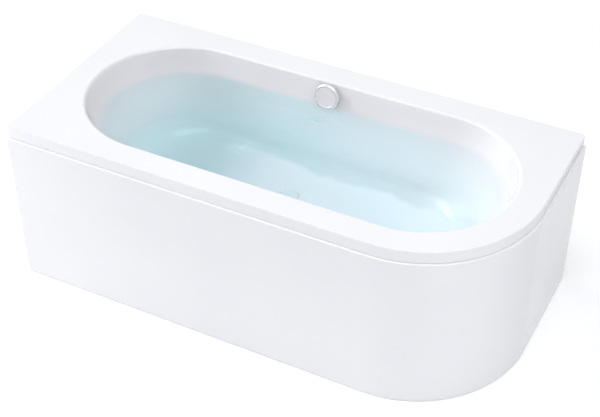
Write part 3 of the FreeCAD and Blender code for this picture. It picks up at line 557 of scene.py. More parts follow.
ACRYLIC = GlossAcrylic()
PANEL_ACRYLIC = GlossAcrylic("panel_acrylic")
BACKING = FibreBacking()
STEEL = BrightSteel()
CHROME = SmoothMetal("polished_chrome", (0.80, 0.80, 0.815), (0.90, 0.90, 0.91), (0.06, 0.12))
SATIN = SmoothMetal("satin_chrome", (0.86, 0.85, 0.86), (0.89, 0.88, 0.89), (0.28, 0.38), metal=0.15)
KNOB_CHROME = SatinFace()
TURNED = Grain(60.0, stretch=(1, 1, 14))
BRASS = SmoothMetal("turned_brass", (0.58, 0.42, 0.19), (0.78, 0.61, 0.32), (0.22, 0.36), TURNED, TURNED)
HOSE_PLASTIC = MouldedPlastic("hose_plastic", (0.56, 0.57, 0.58), gloss=(0.35, 0.5))
JACKET = MouldedPlastic("cable_jacket", (0.10, 0.10, 0.105))
TRAP_PLASTIC = MouldedPlastic("trap_plastic", (0.80, 0.80, 0.79), 0.04, (0.25, 0.38))


# Mesh helpers


def only(kind: type[Kind], parts: Iterable[Part]) -> list[Kind]:
    """Pick the vertices, the edges or the faces out of what an operator made."""
    return [part for part in parts if isinstance(part, kind)]


def everything(bm: BMesh) -> list[Part]:
    """List all of a mesh's parts, as the operators take them."""
    return [*bm.verts, *bm.edges, *bm.faces]


def move(bm: BMesh, by: Point) -> None:
    """Move all of a mesh."""
    bmesh.ops.translate(bm, vec=by, verts=bm.verts)


def merge(bm: BMesh) -> None:
    """Merge the vertices that lie at one place."""
    bmesh.ops.remove_doubles(bm, verts=bm.verts, dist=MERGE)


def outwards(bm: BMesh) -> None:
    """Turn a mesh's faces to point outwards."""
    bmesh.ops.recalc_face_normals(bm, faces=bm.faces)


class Pen:
    """Draws a wire of straight runs and arcs in a bmesh."""

    def __init__(self, bm: BMesh, start: Point) -> None:
        """Put the pen down.

        Args:
            bm: the mesh to draw in.
            start: where the wire begins.
        """
        self.bm = bm
        self.start = start
        self.tip = bmesh.ops.create_vert(bm, co=start)["vert"][0]

    def line(self, *points: Point) -> "Pen":
        """Draw straight runs.

        Args:
            points: where they lead, in order.

        Returns:
            The pen.
        """
        for point in points:
            made = bmesh.ops.extrude_vert_indiv(self.bm, verts=[self.tip])
            self.tip = made["verts"][0]
            self.tip.co = point
        return self

    def arc(self, centre: Point, axis: Point, angle: float, steps: int) -> "Pen":
        """Draw an arc from the pen's tip.

        Args:
            centre: the arc's centre.
            axis: the axis that the tip turns about.
            angle: how far it turns, in radians.
            steps: how many edges the arc has.

        Returns:
            The pen.
        """
        made = bmesh.ops.spin(
            self.bm, geom=[self.tip], cent=centre, axis=axis, angle=angle, steps=steps, use_duplicate=False
        )
        self.tip = only(BMVert, made["geom_last"])[0]
        return self

    def close(self) -> None:
        """Draw a last run, back to where the wire began."""
        self.line(self.start)
        merge(self.bm)


def lathe(bm: BMesh, steps: int, axis: Point = UP) -> None:
    """Spin all of a wire a full turn into a closed skin.

    Args:
        bm: the mesh that holds the wire.
        steps: faces round the turn.
        axis: the axis of the turn, through the origin.
    """
    bmesh.ops.spin(bm, geom=everything(bm), cent=ORIGIN, axis=axis, angle=FULL, steps=steps, use_merge=True)
    merge(bm)
    outwards(bm)


def draw_out(bm: BMesh, edges: list[BMEdge], step: Point) -> list[BMEdge]:
    """Draw edges out into faces.

    Args:
        bm: the mesh.
        edges: the edges.
        step: how far they are drawn.

    Returns:
        The edges at the far end.
    """
    made = bmesh.ops.extrude_edge_only(bm, edges=edges)["geom"]
    bmesh.ops.translate(bm, vec=step, verts=only(BMVert, made))
    return only(BMEdge, made)


def slice_off(bm: BMesh, point: Point, outward: Point) -> None:
    """Cut off what lies past a plane and close the cut.

    Args:
        bm: the mesh.
        point: a point of the plane.
        outward: the plane's normal, towards what is cut off.
    """
    made = bmesh.ops.bisect_plane(bm, geom=everything(bm), plane_co=point, plane_no=outward, clear_outer=True)
    bmesh.ops.holes_fill(bm, edges=only(BMEdge, made["geom_cut"]), sides=0)


def round_edges(bm: BMesh, verts: Iterable[BMVert], radius: float, steps: int = 3) -> None:
    """Round the edges of one shape in a mesh.

    Args:
        bm: the mesh.
        verts: the shape's vertices.
        radius: the radius of the rounding.
        steps: faces across it.
    """
    edges = list(dict.fromkeys(edge for vert in verts for edge in vert.link_edges))
    bmesh.ops.bevel(bm, geom=edges, offset=radius, segments=steps, profile=0.5, affect="EDGES", material=-1)


def rounded_block(bm: BMesh, place: Matrix, size: Point, radius: float) -> None:
    """Add a block with rounded edges.

    Args:
        bm: the mesh to add to.
        place: where its middle goes.
        size: its three sizes.
        radius: the radius of its edges.
    """
    block = bmesh.ops.create_cube(bm, size=1.0, matrix=place @ Matrix.Diagonal((*size, 1.0)))
    round_edges(bm, block["verts"], radius)


def cylinder(bm: BMesh, place: Matrix, radius: float, length: float, sides: int) -> list[BMVert]:
    """Add a closed cylinder.

    Args:
        bm: the mesh to add to.
        place: where its middle goes, with its axis along Z.
        radius: its radius.
        length: its length.
        sides: faces round it.

    Returns:
        Its vertices.
    """
    return bmesh.ops.create_cone(
        bm, cap_ends=True, segments=sides, radius1=radius, radius2=radius, depth=length, matrix=place
    )["verts"]


def to_mesh(bm: BMesh, name: str) -> Mesh:
    """Turn a bmesh into a mesh and free it.

    Args:
        bm: the bmesh.
        name: the mesh's name.

    Returns:
        The new mesh.
    """
    mesh = bpy.data.meshes.new(name)
    bm.to_mesh(mesh)
    bm.free()
    return mesh


def placed(name: str, data: ID) -> Object:
    """Put a mesh, curve, lamp or camera in the scene as an object at the origin.

    Args:
        name: the object's name.
        data: what it holds.

    Returns:
        The object.
    """
    item = bpy.data.objects.new(name, data)
    bpy.context.scene.collection.objects.link(item)
    return item


def to_object(bm: BMesh, name: str) -> Object:
    """Put a bmesh in the scene as an object at the origin, and free it."""
    return placed(name, to_mesh(bm, name))


def repeated(mesh: Mesh, places: Iterable[Matrix], name: str) -> Object:
    """Set copies of a mesh side by side in one object, and remove the mesh.

    Args:
        mesh: the mesh to copy.
        places: where each copy goes.
        name: the object's name.

    Returns:
        The object.
    """
    bm = bmesh.new()
    for place in places:
        copy = mesh.copy()
        copy.transform(place)
        bm.from_mesh(copy)
        bpy.data.meshes.remove(copy)
    bpy.data.meshes.remove(mesh)
    return to_object(bm, name)


def applied(piece: Object) -> None:
    """Replace an object's mesh by what its modifiers make of it.

    Args:
        piece: the object.
    """
    bpy.context.view_layer.update()
    shaped = piece.evaluated_get(bpy.context.evaluated_depsgraph_get())
    old, piece.data = piece.data, bpy.data.meshes.new_from_object(shaped)
    piece.modifiers.clear()
    bpy.data.meshes.remove(old)


def carved(piece: Object, cutter: Object, crossing: bool = False) -> None:
    """Cut one object out of another, after the modifiers that it has already.

    Args:
        piece: the object that is cut.
        cutter: what is cut out, which is then removed.
        crossing: the cutter's own parts run through each other.
    """
    cut = piece.modifiers.new("cut", "BOOLEAN")
    cut.object = cutter
    cut.solver = "EXACT"
    cut.use_self = crossing
    applied(piece)
    bpy.data.meshes.remove(cutter.data)


def add_wall(piece: Object, thickness: float, finishes: Iterable[Finish]) -> None:
    """Give a sheet its wall, behind its face.

    Args:
        piece: the sheet.
        thickness: the wall's thickness.
        finishes: the finish of the face, then that of the back.
    """
    for finish in finishes:
        piece.data.materials.append(mixed(finish))
    wall = piece.modifiers.new("wall", "SOLIDIFY")
    wall.thickness = thickness
    wall.offset = -1.0
    wall.use_even_offset = True
    wall.material_offset = 1


def smoothed(piece: Object, crease: float = CREASE) -> None:
    """Shade an object smooth, with a crease wherever faces meet at more than an angle in degrees."""
    piece.data.shade_smooth()
    piece.data.set_sharp_from_angle(angle=math.radians(crease))


def even_shine(piece: Object) -> None:
    """Give a sheet an even shine on its flat faces beside its rounded edges."""
    piece.modifiers.new("even_shine", "WEIGHTED_NORMAL").keep_sharp = True


def settle(
    piece: Object,
    body: Body,
    finishes: Iterable[Finish],
    nodes: Sequence[str] = (),
    crease: float = CREASE,
) -> None:
    """Shade and dress a finished piece, and fix it to the part.

    Args:
        piece: the object, with its place in its mesh.
        body: the body that it rides on.
        finishes: one finish for each material index.
        nodes: the solids that it stands for.
        crease: the angle past which its faces meet in a crease, in degrees.
    """
    smoothed(piece, crease)
    piece.data.materials.clear()
    for finish in finishes:
        piece.data.materials.append(mixed(finish))
    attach(piece, body.value)
    if nodes:
        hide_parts(*nodes)
    log.info("%s: %d faces on %s", piece.name, len(piece.data.polygons), body.value)


# The bath


@dataclass
class TubForm:
    """The moulded form that the tub, the panel and the water follow, about the centre of the rim."""

    centre: Point = (-0.004, 0.004, 0.625)
    half_length: float = 0.850
    half_width: float = 0.4075
    corner: float = 0.006
    deck: float = 0.097
    depth: float = 0.430
    end_inset: float = 0.140
    side_inset: float = 0.060
    roll: float = 0.010
    floor_radius: float = 0.095
    end_steps: int = 72
    arc_steps: int = 16
    corner_steps: int = 6

    @property
    def corner_x(self) -> float:
        """Where the large rounded corner and the basin's ends have their centres."""
        return self.half_length - self.half_width

    @property
    def edge(self) -> float:
        """Half the basin's width at the deck, where wall and deck would meet."""
        return self.half_width - self.deck

    @property
    def lean(self) -> float:
        """How far the long walls lean outwards."""
        return math.atan2(self.side_inset, self.depth)

    @property
    def end_lean(self) -> float:
        """How much further than the long walls the ends lean, for each unit of depth."""
        return (self.end_inset - self.side_inset) / self.depth

    def wall(self, drop: float, out: float = 0.0) -> float:
        """Give the long wall's distance from the middle, at a drop below the rim and out from its face."""
        return self.edge - self.side_inset * drop / self.depth + out / math.cos(self.lean)

    def draw_floor(self, pen: Pen, out: float = 0.0) -> None:
        """Draw the wall's foot, the rounded floor edge and the floor, to the middle.

        Args:
            pen: a pen whose tip is on the wall, in the YZ plane.
            out: how far outside the basin's face the line runs.
        """
        turn = QUARTER - self.lean
        radius = self.floor_radius + out
        low = -self.depth - out
        reach = radius * math.tan(turn / 2)
        foot = self.wall(-low, out)
        start = (0, foot + reach * math.sin(self.lean), low + reach * math.cos(self.lean))
        pen.line(start).arc((0, foot - reach, low + radius), ALONG, -turn, self.arc_steps)
        pen.line((0, 0, low))

    def spread(self, bm: BMesh) -> None:
        """Turn a half profile in the YZ plane into the long basin, about the centre of the rim.

        Args:
            bm: the mesh that holds the profile's wire alone.
        """
        first = list(bm.edges)
        made = bmesh.ops.spin(
            bm, geom=everything(bm), cent=ORIGIN, axis=UP, angle=-HALF, steps=self.end_steps
        )
        shear = Matrix.Identity(4)
        shear[0][2] = self.end_lean
        shear[0][3] = self.corner_x
        bmesh.ops.transform(bm, matrix=shear, verts=bm.verts)
        seam = bmesh.ops.extrude_edge_only(bm, edges=first + only(BMEdge, made["geom_last"]))["geom"]
        bmesh.ops.scale(bm, vec=(0, 1, 1), verts=only(BMVert, seam))
        merge(bm)
        bmesh.ops.mirror(bm, geom=everything(bm), matrix=Matrix.Identity(4), merge_dist=MERGE, axis="X")
        merge(bm)

    def draw_rim(self, bm: BMesh) -> None:
        """Draw the rim's outline: three tight corners and one large rounded one at the front right.

        Args:
            bm: the mesh to draw in, about the centre of the rim.
        """
        x, y = self.half_length, self.half_width
        in_x, in_y = x - self.corner, y - self.corner
        pen = Pen(bm, (-in_x, -y, 0))
        pen.line((self.corner_x, -y, 0)).arc((self.corner_x, 0, 0), UP, QUARTER, self.end_steps // 2)
        pen.line((x, in_y, 0)).arc((in_x, in_y, 0), UP, QUARTER, self.corner_steps)
        pen.line((-in_x, y, 0)).arc((-in_x, in_y, 0), UP, QUARTER, self.corner_steps)
        pen.line((-x, -in_y, 0)).arc((-in_x, -in_y, 0), UP, QUARTER, self.corner_steps)


@dataclass
class FormedTub:
    """The tub: basin, flat deck and folded lip in one sheet, with its drain and overflow holes."""

    form: TubForm
    wall: float = 0.007
    lip: float = 0.042
    edge_radius: float = 0.005
    edge_steps: int = 5
    drain_x: float = -0.025
    drain_hole: float = 0.026
    seat: float = 0.0353
    seat_depth: float = 0.004
    overflow_drop: float = 0.050
    overflow_hole: float = 0.026
    overrun: float = 0.02
    hole_sides: int = 64

    def skin(self) -> BMesh:
        """Model the face of the sheet.

        Returns:
            The face, with its rim edges marked for rounding.
        """
        form = self.form
        bm = bmesh.new()
        weight = bm.edges.layers.float.new("bevel_weight_edge")
        turn = QUARTER - form.lean
        start = form.edge + form.roll * math.tan(turn / 2)
        pen = Pen(bm, (0, start, 0)).arc((0, start, -form.roll), ALONG, turn, form.arc_steps // 2)
        form.draw_floor(pen)
        form.spread(bm)
        mouth = [edge for edge in bm.edges if edge.is_boundary]
        form.draw_rim(bm)
        merge(bm)
        rim = [edge for edge in bm.edges if edge.is_wire]
        bmesh.ops.triangle_fill(bm, use_beauty=True, edges=mouth + rim, normal=UP)
        draw_out(bm, rim, (0, 0, -self.lip))
        outwards(bm)
        if max(bm.faces, key=lambda face: face.calc_center_median().z).normal.z < 0:
            bmesh.ops.reverse_faces(bm, faces=bm.faces)
        for edge in rim:
            edge[weight] = 1.0
        move(bm, form.centre)
        return bm

    def holes(self) -> Object:
        """Model what is cut out of the sheet.

        Returns:
            The drain's seat and hole, and the overflow's hole.
        """
        form = self.form
        bm = bmesh.new()
        seat = -form.depth - self.seat_depth
        low, high = -form.depth - self.overrun, -form.depth + self.overrun
        pen = Pen(bm, (0, 0, low)).line((self.drain_hole, 0, low), (self.drain_hole, 0, seat))
        pen.line((self.seat, 0, seat), (self.seat, 0, high), (0, 0, high))
        lathe(bm, self.hole_sides)
        move(bm, (self.drain_x, 0, 0))
        square = Matrix.Translation((self.drain_x, form.wall(self.overflow_drop), -self.overflow_drop))
        square @= Matrix.Rotation(QUARTER + form.lean, 4, "X")
        cylinder(bm, square, self.overflow_hole, 2 * self.overrun, self.hole_sides)
        move(bm, form.centre)
        return to_object(bm, "tub_holes")

    def build(self) -> None:
        """Model and dress the tub."""
        tub = to_object(self.skin(), "formed_tub")
        add_wall(tub, self.wall, (ACRYLIC, BACKING))
        fold = tub.modifiers.new("fold", "BEVEL")
        fold.limit_method = "WEIGHT"
        fold.width = self.edge_radius
        fold.segments = self.edge_steps
        carved(tub, self.holes())
        even_shine(tub)
        settle(tub, Body.BATH, (ACRYLIC, BACKING), ["bath_shell"])


@dataclass
class FrontPanel:
    """The panel round the front, the rounded corner and the right end, with its ledge, upstand and foot."""

    form: TubForm
    wall: float = 0.004
    foot_level: float = 0.002
    foot_out: float = 0.002
    foot_in: float = 0.023
    top_level: float = 0.582
    top_out: float = 0.008
    upstand_in: float = 0.011
    upstand_top: float = 0.604
    end_gap: float = 0.011
    edge_radius: float = 0.002
    edge_steps: int = 5

    def draw(self, bm: BMesh) -> None:
        """Draw the panel's section across its front face, in the YZ plane, out towards the front.

        Args:
            bm: the mesh to draw in, about the centre of the rim.
        """
        face = -self.form.half_width
        lean = math.atan2(self.top_out - self.foot_out, self.top_level - self.foot_level)
        slope = Vector((0, -math.sin(lean), math.cos(lean)))
        foot = Vector((0, face - self.foot_out, self.foot_level))
        top = Vector((0, face - self.top_out, self.top_level))
        foot_turn, top_turn = QUARTER - lean, QUARTER + lean
        foot_back = Vector((0, self.edge_radius * math.tan(foot_turn / 2), 0))
        top_back = Vector((0, self.edge_radius * math.tan(top_turn / 2), 0))
        rise = Vector((0, 0, self.edge_radius))
        pen = Pen(bm, (0, face + self.foot_in, self.foot_level)).line(foot + foot_back)
        pen.arc(foot + foot_back + rise, ALONG, -foot_turn, self.edge_steps)
        pen.line(top - slope * top_back.y)
        pen.arc(top + top_back - rise, ALONG, -top_turn, self.edge_steps)
        upstand = face + self.upstand_in
        pen.line((0, upstand, self.top_level), (0, upstand, self.upstand_top))

    def sweep(self, bm: BMesh) -> None:
        """Draw the section along the front, round the corner and along the right end.

        Args:
            bm: the mesh that holds the section alone, at the middle of the front.
        """
        form = self.form
        move(bm, (-form.half_length, 0, 0))
        end = draw_out(bm, list(bm.edges), (self.end_gap, 0, 0))
        end = draw_out(bm, end, (form.half_length + form.corner_x - self.end_gap, 0, 0))
        verts = dict.fromkeys(vert for edge in end for vert in edge.verts)
        corner = (form.corner_x, 0, 0)
        made = bmesh.ops.spin(
            bm, geom=[*verts, *end], cent=corner, axis=UP, angle=QUARTER, steps=form.end_steps
        )
        end = draw_out(bm, only(BMEdge, made["geom_last"]), (0, form.half_width - self.end_gap, 0))
        draw_out(bm, end, (0, self.end_gap, 0))
        merge(bm)

    def trim(self, bm: BMesh) -> None:
        """Cut the upstand back at both ends.

        Args:
            bm: the mesh of the whole panel.
        """
        left = self.end_gap + MERGE - self.form.half_length
        back = self.form.half_width - self.end_gap - MERGE
        spare = []
        for face in bm.faces:
            x, y, z = zip(*(vert.co for vert in face.verts))
            upright = min(z) > self.top_level - MERGE and max(z) > self.top_level + MERGE
            if upright and (max(x) < left or min(y) > back):
                spare.append(face)
        bmesh.ops.delete(bm, geom=spare, context="FACES")

    def build(self) -> None:
        """Model and dress the panel."""
        bm = bmesh.new()
        self.draw(bm)
        self.sweep(bm)
        self.trim(bm)
        outwards(bm)
        if min(bm.faces, key=lambda face: face.calc_center_median().y).normal.y > 0:
            bmesh.ops.reverse_faces(bm, faces=bm.faces)
        move(bm, (*self.form.centre[:2], 0))
        panel = to_object(bm, "front_panel_sheet")
        add_wall(panel, self.wall, (PANEL_ACRYLIC, BACKING))
        applied(panel)
        even_shine(panel)
        settle(panel, Body.BATH, (PANEL_ACRYLIC, BACKING), ["front_panel"])


# The drain set


@dataclass
class Route:
    """The smooth line that a hose or cable takes down the back wall and in under the tub."""

    points: tuple[Point, ...]
    resolution: int = 48
    order: int = 3

    def curve(self, name: str) -> Object:
        """Draw the line as a curve.

        Args:
            name: the curve's name.

        Returns:
            The curve's object, in the scene until it is removed.
        """
        data = bpy.data.curves.new(name, "CURVE")
        data.dimensions = "3D"
        data.resolution_u = self.resolution
        data.twist_mode = "MINIMUM"
        spline = data.splines.new("NURBS")
        spline.points.add(len(self.points) - 1)
        for knot, point in zip(spline.points, self.points):
            knot.co = (*point, 1.0)
        spline.order_u = self.order
        spline.use_endpoint_u = True
        return placed(name, data)

    def lay(self, bm: BMesh, name: str, line: Object, cuts: int) -> Object:
        """Bend a straight piece, drawn from the origin along X, to the line.

        Args:
            bm: the straight piece.
            name: the piece's name.
            line: the curve, which is removed.
            cuts: how many cuts its long runs get, so that they bend.

        Returns:
            The bent piece.
        """
        half = line.data.splines[0].calc_length() / 2
        runs = [edge for edge in bm.edges if edge.calc_length() > half]
        bmesh.ops.subdivide_edges(bm, edges=runs, cuts=cuts)
        piece = to_object(bm, name)
        bend = piece.modifiers.new("bend", "CURVE")
        bend.object = line
        bend.deform_axis = "POS_X"
        applied(piece)
        bpy.data.curves.remove(line.data)
        return piece


@dataclass
class OverflowHose:
    """The corrugated hose from the overflow to the waste, with plain cuffs at both ends."""

    route: Route
    bore: float = 0.0126
    valley: float = 0.0150
    crest: float = 0.0170
    cuff: float = 0.034
    pitch: float = 0.012
    rib_shares: tuple[Span, ...] = (
        (0.08, 0.0), (0.2, 0.0), (0.3, 0.45), (0.4, 1.0), (0.6, 1.0), (0.7, 0.45), (0.8, 0.0), (0.92, 0.0)
    )
    sides: int = 40
    cuts: int = 40
    crease: float = 50.0

    def build(self) -> None:
        """Model and dress the hose."""
        line = self.route.curve("hose_line")
        length = line.data.splines[0].calc_length()
        ribs = round((length - 2 * self.cuff) / self.pitch)
        pitch = (length - 2 * self.cuff) / ribs
        bm = bmesh.new()
        pen = Pen(bm, (0, 0, self.bore)).line((0, 0, self.valley), (self.cuff, 0, self.valley))
        for rib in range(ribs):
            for share, rise in self.rib_shares:
                height = self.valley + rise * (self.crest - self.valley)
                pen.line((self.cuff + (rib + share) * pitch, 0, height))
        pen.line((length - self.cuff, 0, self.valley), (length, 0, self.valley), (length, 0, self.bore))
        pen.close()
        lathe(bm, self.sides, ALONG)
        hose = self.route.lay(bm, "corrugated_hose", line, self.cuts)
        settle(hose, Body.BATH, (HOSE_PLASTIC,), ["overflow_hose"], self.crease)


@dataclass
class ControlCable:
    """The sheathed cable from the knob to the plug, with a crimped ferrule at each end."""

    route: Route
    radius: float = 0.0025
    inside: float = 0.0145
    ferrule: float = 0.0037
    ferrule_length: float = 0.018
    crimp: float = 0.003
    crimp_shares: Span = (0.3, 0.6)
    sides: int = 24
    cuts: int = 70

    def build(self) -> None:
        """Model and dress the cable."""
        line = self.route.curve("cable_line")
        length = line.data.splines[0].calc_length()
        slim, stout, half = self.radius, self.ferrule, self.crimp / 2
        steps = [(self.inside, slim), (self.inside, stout)]
        for share in self.crimp_shares:
            middle = self.inside + share * self.ferrule_length
            steps += [(middle - half, stout), (middle, (slim + stout) / 2), (middle + half, stout)]
        tail = self.inside + self.ferrule_length
        steps += [(tail - half, stout), (tail, slim)]
        bm = bmesh.new()
        pen = Pen(bm, ORIGIN).line((0, 0, slim), *((x, 0, out) for x, out in steps))
        pen.line(*((length - x, 0, out) for x, out in reversed(steps)), (length, 0, slim), (length, 0, 0))
        lathe(bm, self.sides, ALONG)
        cable = self.route.lay(bm, "sheathed_cable", line, self.cuts)
        settle(cable, Body.BATH, (JACKET,), ["control_cable"])


@dataclass
class WormClip:
    """A worm-drive hose clip: a slotted band, the housing on it and its screw."""

    node: str
    centre: Point
    tilt: float
    inner: float = 0.0151
    outer: float = 0.0171
    width: float = 0.009
    sides: int = 72
    slot_edge: float = 0.0003
    slot_depth: float = 0.0006
    housing: Point = (0.0062, 0.013, 0.0096)
    housing_sink: float = 0.001
    housing_edge: float = 0.0014
    screw: float = 0.0034
    screw_length: float = 0.007
    screw_out: float = 0.0004
    screw_edge: float = 0.0004
    screw_steps: int = 2
    screw_flats: int = 6
    crease: float = 30.0

    def band(self) -> BMesh:
        """Model the band about the Z axis.

        Returns:
            The band, with a row of slots for the worm.
        """
        half = self.width / 2
        bm = bmesh.new()
        pen = Pen(bm, (self.inner, 0, -half))
        pen.line((self.outer, 0, -half), (self.outer, 0, half), (self.inner, 0, half)).close()
        lathe(bm, self.sides)
        middle = (self.inner + self.outer) / 2
        upright = [face for face in bm.faces if abs(face.normal.z) < face.normal.xy.length]
        outer = [face for face in upright if face.calc_center_median().xy.length > middle]
        bmesh.ops.inset_individual(bm, faces=outer[::2], thickness=self.slot_edge, depth=-self.slot_depth)
        return bm

    def build(self) -> None:
        """Model and dress the clip, tilted about the X axis to the way that the hose runs."""
        bm = self.band()
        deep, wide, _ = self.housing
        middle = Matrix.Translation((self.outer + deep / 2 - self.housing_sink, 0, 0))
        rounded_block(bm, middle, self.housing, self.housing_edge)
        end = middle @ Matrix.Translation((self.screw_out, wide / 2, 0)) @ Matrix.Rotation(QUARTER, 4, "X")
        head = cylinder(bm, end, self.screw, self.screw_length, self.screw_flats)
        round_edges(bm, head, self.screw_edge, self.screw_steps)
        turn = Matrix.Rotation(self.tilt, 4, "X") @ Matrix.Rotation(HALF, 4, "Z")
        bmesh.ops.transform(bm, matrix=Matrix.Translation(self.centre) @ turn, verts=bm.verts)
        clip = to_object(bm, f"worm_drive_{self.node}")
        settle(clip, Body.BATH, (STEEL,), [self.node], self.crease)


@dataclass
class NutGrips:
    """Finger ribs round the trap's two union nuts."""

    nuts: tuple[tuple[Point, float], ...]
    radius: float = 0.028
    count: int = 20
    rib: Point = (0.0034, 0.0032, 0.017)
    rib_edge: float = 0.0011

    def build(self) -> None:
        """Model and dress the ribs, half sunk in each nut's side."""
        bm = bmesh.new()
        rounded_block(bm, Matrix.Translation((self.radius, 0, 0)), self.rib, self.rib_edge)
        turns = [Matrix.Rotation(rib * FULL / self.count, 4, "Z") for rib in range(self.count)]
        axes = [Matrix.Translation(centre) @ Matrix.Rotation(tilt, 4, "X") for centre, tilt in self.nuts]
        places = [axis @ turn for axis in axes for turn in turns]
        ribs = repeated(to_mesh(bm, "rib"), places, "union_nut_grips")
        settle(ribs, Body.BATH, (TRAP_PLASTIC,))


# The underframe


@dataclass
class ThreadedRods:
    """The threaded rods of the four feet, each standing in its pad."""

    feet: tuple[Foot, ...]
    low: float = 0.008
    high: float = 0.217
    radius: float = 0.006
    depth: float = 0.0009
    pitch: float = 0.00175
    lead_share: float = 1.25
    crest_shares: Span = (0.4, 0.6)
    spare_turns: int = 2
    sides: int = 20
    crease: float = 30.0

    def thread(self) -> Mesh:
        """Model one rod about the Z axis.

        Returns:
            The rod, its ends cut square to the thread.
        """
        root = self.radius - self.depth
        start = -self.lead_share * self.pitch
        bm = bmesh.new()
        crest = [(self.radius, 0, start + share * self.pitch) for share in self.crest_shares]
        Pen(bm, (root, 0, start)).line(*crest, (root, 0, start + self.pitch))
        rod = to_object(bm, "thread")
        screw = rod.modifiers.new("thread", "SCREW")
        screw.axis = "Z"
        screw.angle = FULL
        screw.screw_offset = self.pitch
        screw.iterations = math.ceil((self.high - self.low) / self.pitch) + self.spare_turns
        screw.steps = screw.render_steps = self.sides
        applied(rod)
        bm = bmesh.new()
        bm.from_mesh(rod.data)
        bpy.data.meshes.remove(rod.data)
        merge(bm)
        slice_off(bm, ORIGIN, (0, 0, -1))
        slice_off(bm, (0, 0, self.high - self.low), UP)
        outwards(bm)
        move(bm, (0, 0, self.low))
        return to_mesh(bm, "thread")

    def build(self) -> None:
        """Model and dress the rods."""
        for body, x, y in self.feet:
            node = body.value.replace("foot", "foot_rod")
            rod = repeated(self.thread(), [Matrix.Translation((x, y, 0))], f"threaded_{node}")
            settle(rod, body, (STEEL,), [node], self.crease)


@dataclass
class HexNuts:
    """The two chamfered nuts that clamp each rod to its cradle."""

    feet: tuple[Foot, ...]
    levels: Span = (0.1595, 0.172)
    height: float = 0.010
    across: float = 0.019
    face_share: float = 0.97
    corner_share: float = 1.18
    chamfer: float = math.radians(30)
    bore: float = 0.0061
    sink: float = 0.0007
    flats: int = 6
    sides: int = 72
    first_turn: float = 0.2
    next_turn: float = 0.7
    crease: float = 20.0

    def nut(self) -> Mesh:
        """Model one nut about the Z axis.

        Returns:
            The nut: a chamfered ring with its flats cut off it.
        """
        flat, top = self.across / 2, self.height
        face, corner = self.face_share * flat, self.corner_share * flat
        rise = (corner - face) * math.tan(self.chamfer)
        mouth = self.bore + self.sink
        bm = bmesh.new()
        pen = Pen(bm, (self.bore, 0, self.sink)).line((mouth, 0, 0), (face, 0, 0), (corner, 0, rise))
        pen.line((corner, 0, top - rise), (face, 0, top), (mouth, 0, top), (self.bore, 0, top - self.sink))
        pen.close()
        lathe(bm, self.sides)
        for side in range(self.flats):
            angle = side * FULL / self.flats
            out = Vector((math.cos(angle), math.sin(angle), 0))
            slice_off(bm, out * flat, out)
        outwards(bm)
        return to_mesh(bm, "nut")

    def build(self) -> None:
        """Model and dress the nuts, each turned differently."""
        spots = [(x, y, level) for _, x, y in self.feet for level in self.levels]
        places = [
            Matrix.Translation(spot) @ Matrix.Rotation(self.first_turn + self.next_turn * number, 4, "Z")
            for number, spot in enumerate(spots)
        ]
        nuts = repeated(self.nut(), places, "chamfered_nuts")
        settle(nuts, Body.BATH, (STEEL,), ["foot_nuts"], self.crease)


@dataclass
class PanScrews:
    """The cross-head screws that hold the cradles to the board."""

    places: tuple[Span, ...]
    under: float = 0.1695
    head: tuple[Span, ...] = (
        (0.0, -0.0030), (0.0024, -0.0029), (0.0038, -0.0024),
        (0.0047, -0.0015), (0.0050, -0.0005), (0.0050, 0.0),
    )
    shank: float = 0.0025
    length: float = 0.014
    recess: Point = (0.0054, 0.0011, 0.0044)
    sides: int = 32
    next_turn: float = 0.9

    def screw(self) -> Mesh:
        """Model one screw, head down.

        Returns:
            The screw, with the recess for the driver.
        """
        bm = bmesh.new()
        first, *others = [(out, 0, level) for out, level in self.head]
        shank = ((self.shank, 0, 0), (self.shank, 0, self.length), (0, 0, self.length))
        Pen(bm, first).line(*others, *shank)
        lathe(bm, self.sides)
        screw = to_object(bm, "screw")
        bm = bmesh.new()
        middle = Matrix.Translation((0, 0, self.head[0][1]))
        size = Matrix.Diagonal((*self.recess, 1.0))
        for turn in (0.0, QUARTER):
            bmesh.ops.create_cube(bm, size=1.0, matrix=middle @ Matrix.Rotation(turn, 4, "Z") @ size)
        carved(screw, to_object(bm, "cross"), crossing=True)
        mesh = screw.data
        bpy.data.objects.remove(screw)
        return mesh

    def build(self) -> None:
        """Model and dress the screws, each turned differently."""
        places = [
            Matrix.Translation((x, y, self.under)) @ Matrix.Rotation(self.next_turn * number, 4, "Z")
            for number, (x, y) in enumerate(self.places)
        ]
        screws = repeated(self.screw(), places, "pan_head_screws")
        settle(screws, Body.BATH, (STEEL,), ["cradle_screws"])


class Dressing:
    """Finishes of the solids that are shown as they are."""

    by_slot: dict[str, Finish] = {
        "board": Chipboard(),
        "zinc": ZincSheet(),
        "steel": STEEL,
        "pad": MouldedPlastic("foot_pad_plastic", (0.055, 0.055, 0.06), 0.2),
        "clip": MouldedPlastic("clip_plastic", (0.62, 0.62, 0.60)),
        "chrome": CHROME,
        "brass": BRASS,
        "waste": MouldedPlastic("waste_plastic", (0.16, 0.165, 0.17), 0.15, (0.28, 0.42)),
        "trap": TRAP_PLASTIC,
        "seal": MouldedPlastic("seal_rubber", (0.035, 0.035, 0.037), 0.25, (0.55, 0.7)),
    }
    by_node: dict[str, Finish] = {"overflow_knob": KNOB_CHROME, "plug_cap": SATIN, "waste_flange": SATIN}

    def build(self) -> None:
        """Give every solid that no piece replaces its finish."""
        nodes = frame["nodes"]
        slots = {name: node.material_slots[0].material.name.split(".")[0] for name, node in nodes.items()}
        for name, node in nodes.items():
            finish = self.by_node.get(name) or self.by_slot.get(slots[name])
            if finish is not None:
                node.material_slots[0].material = mixed(finish)
                log.info("%s: dressed as %s", name, finish.name)


# The stage


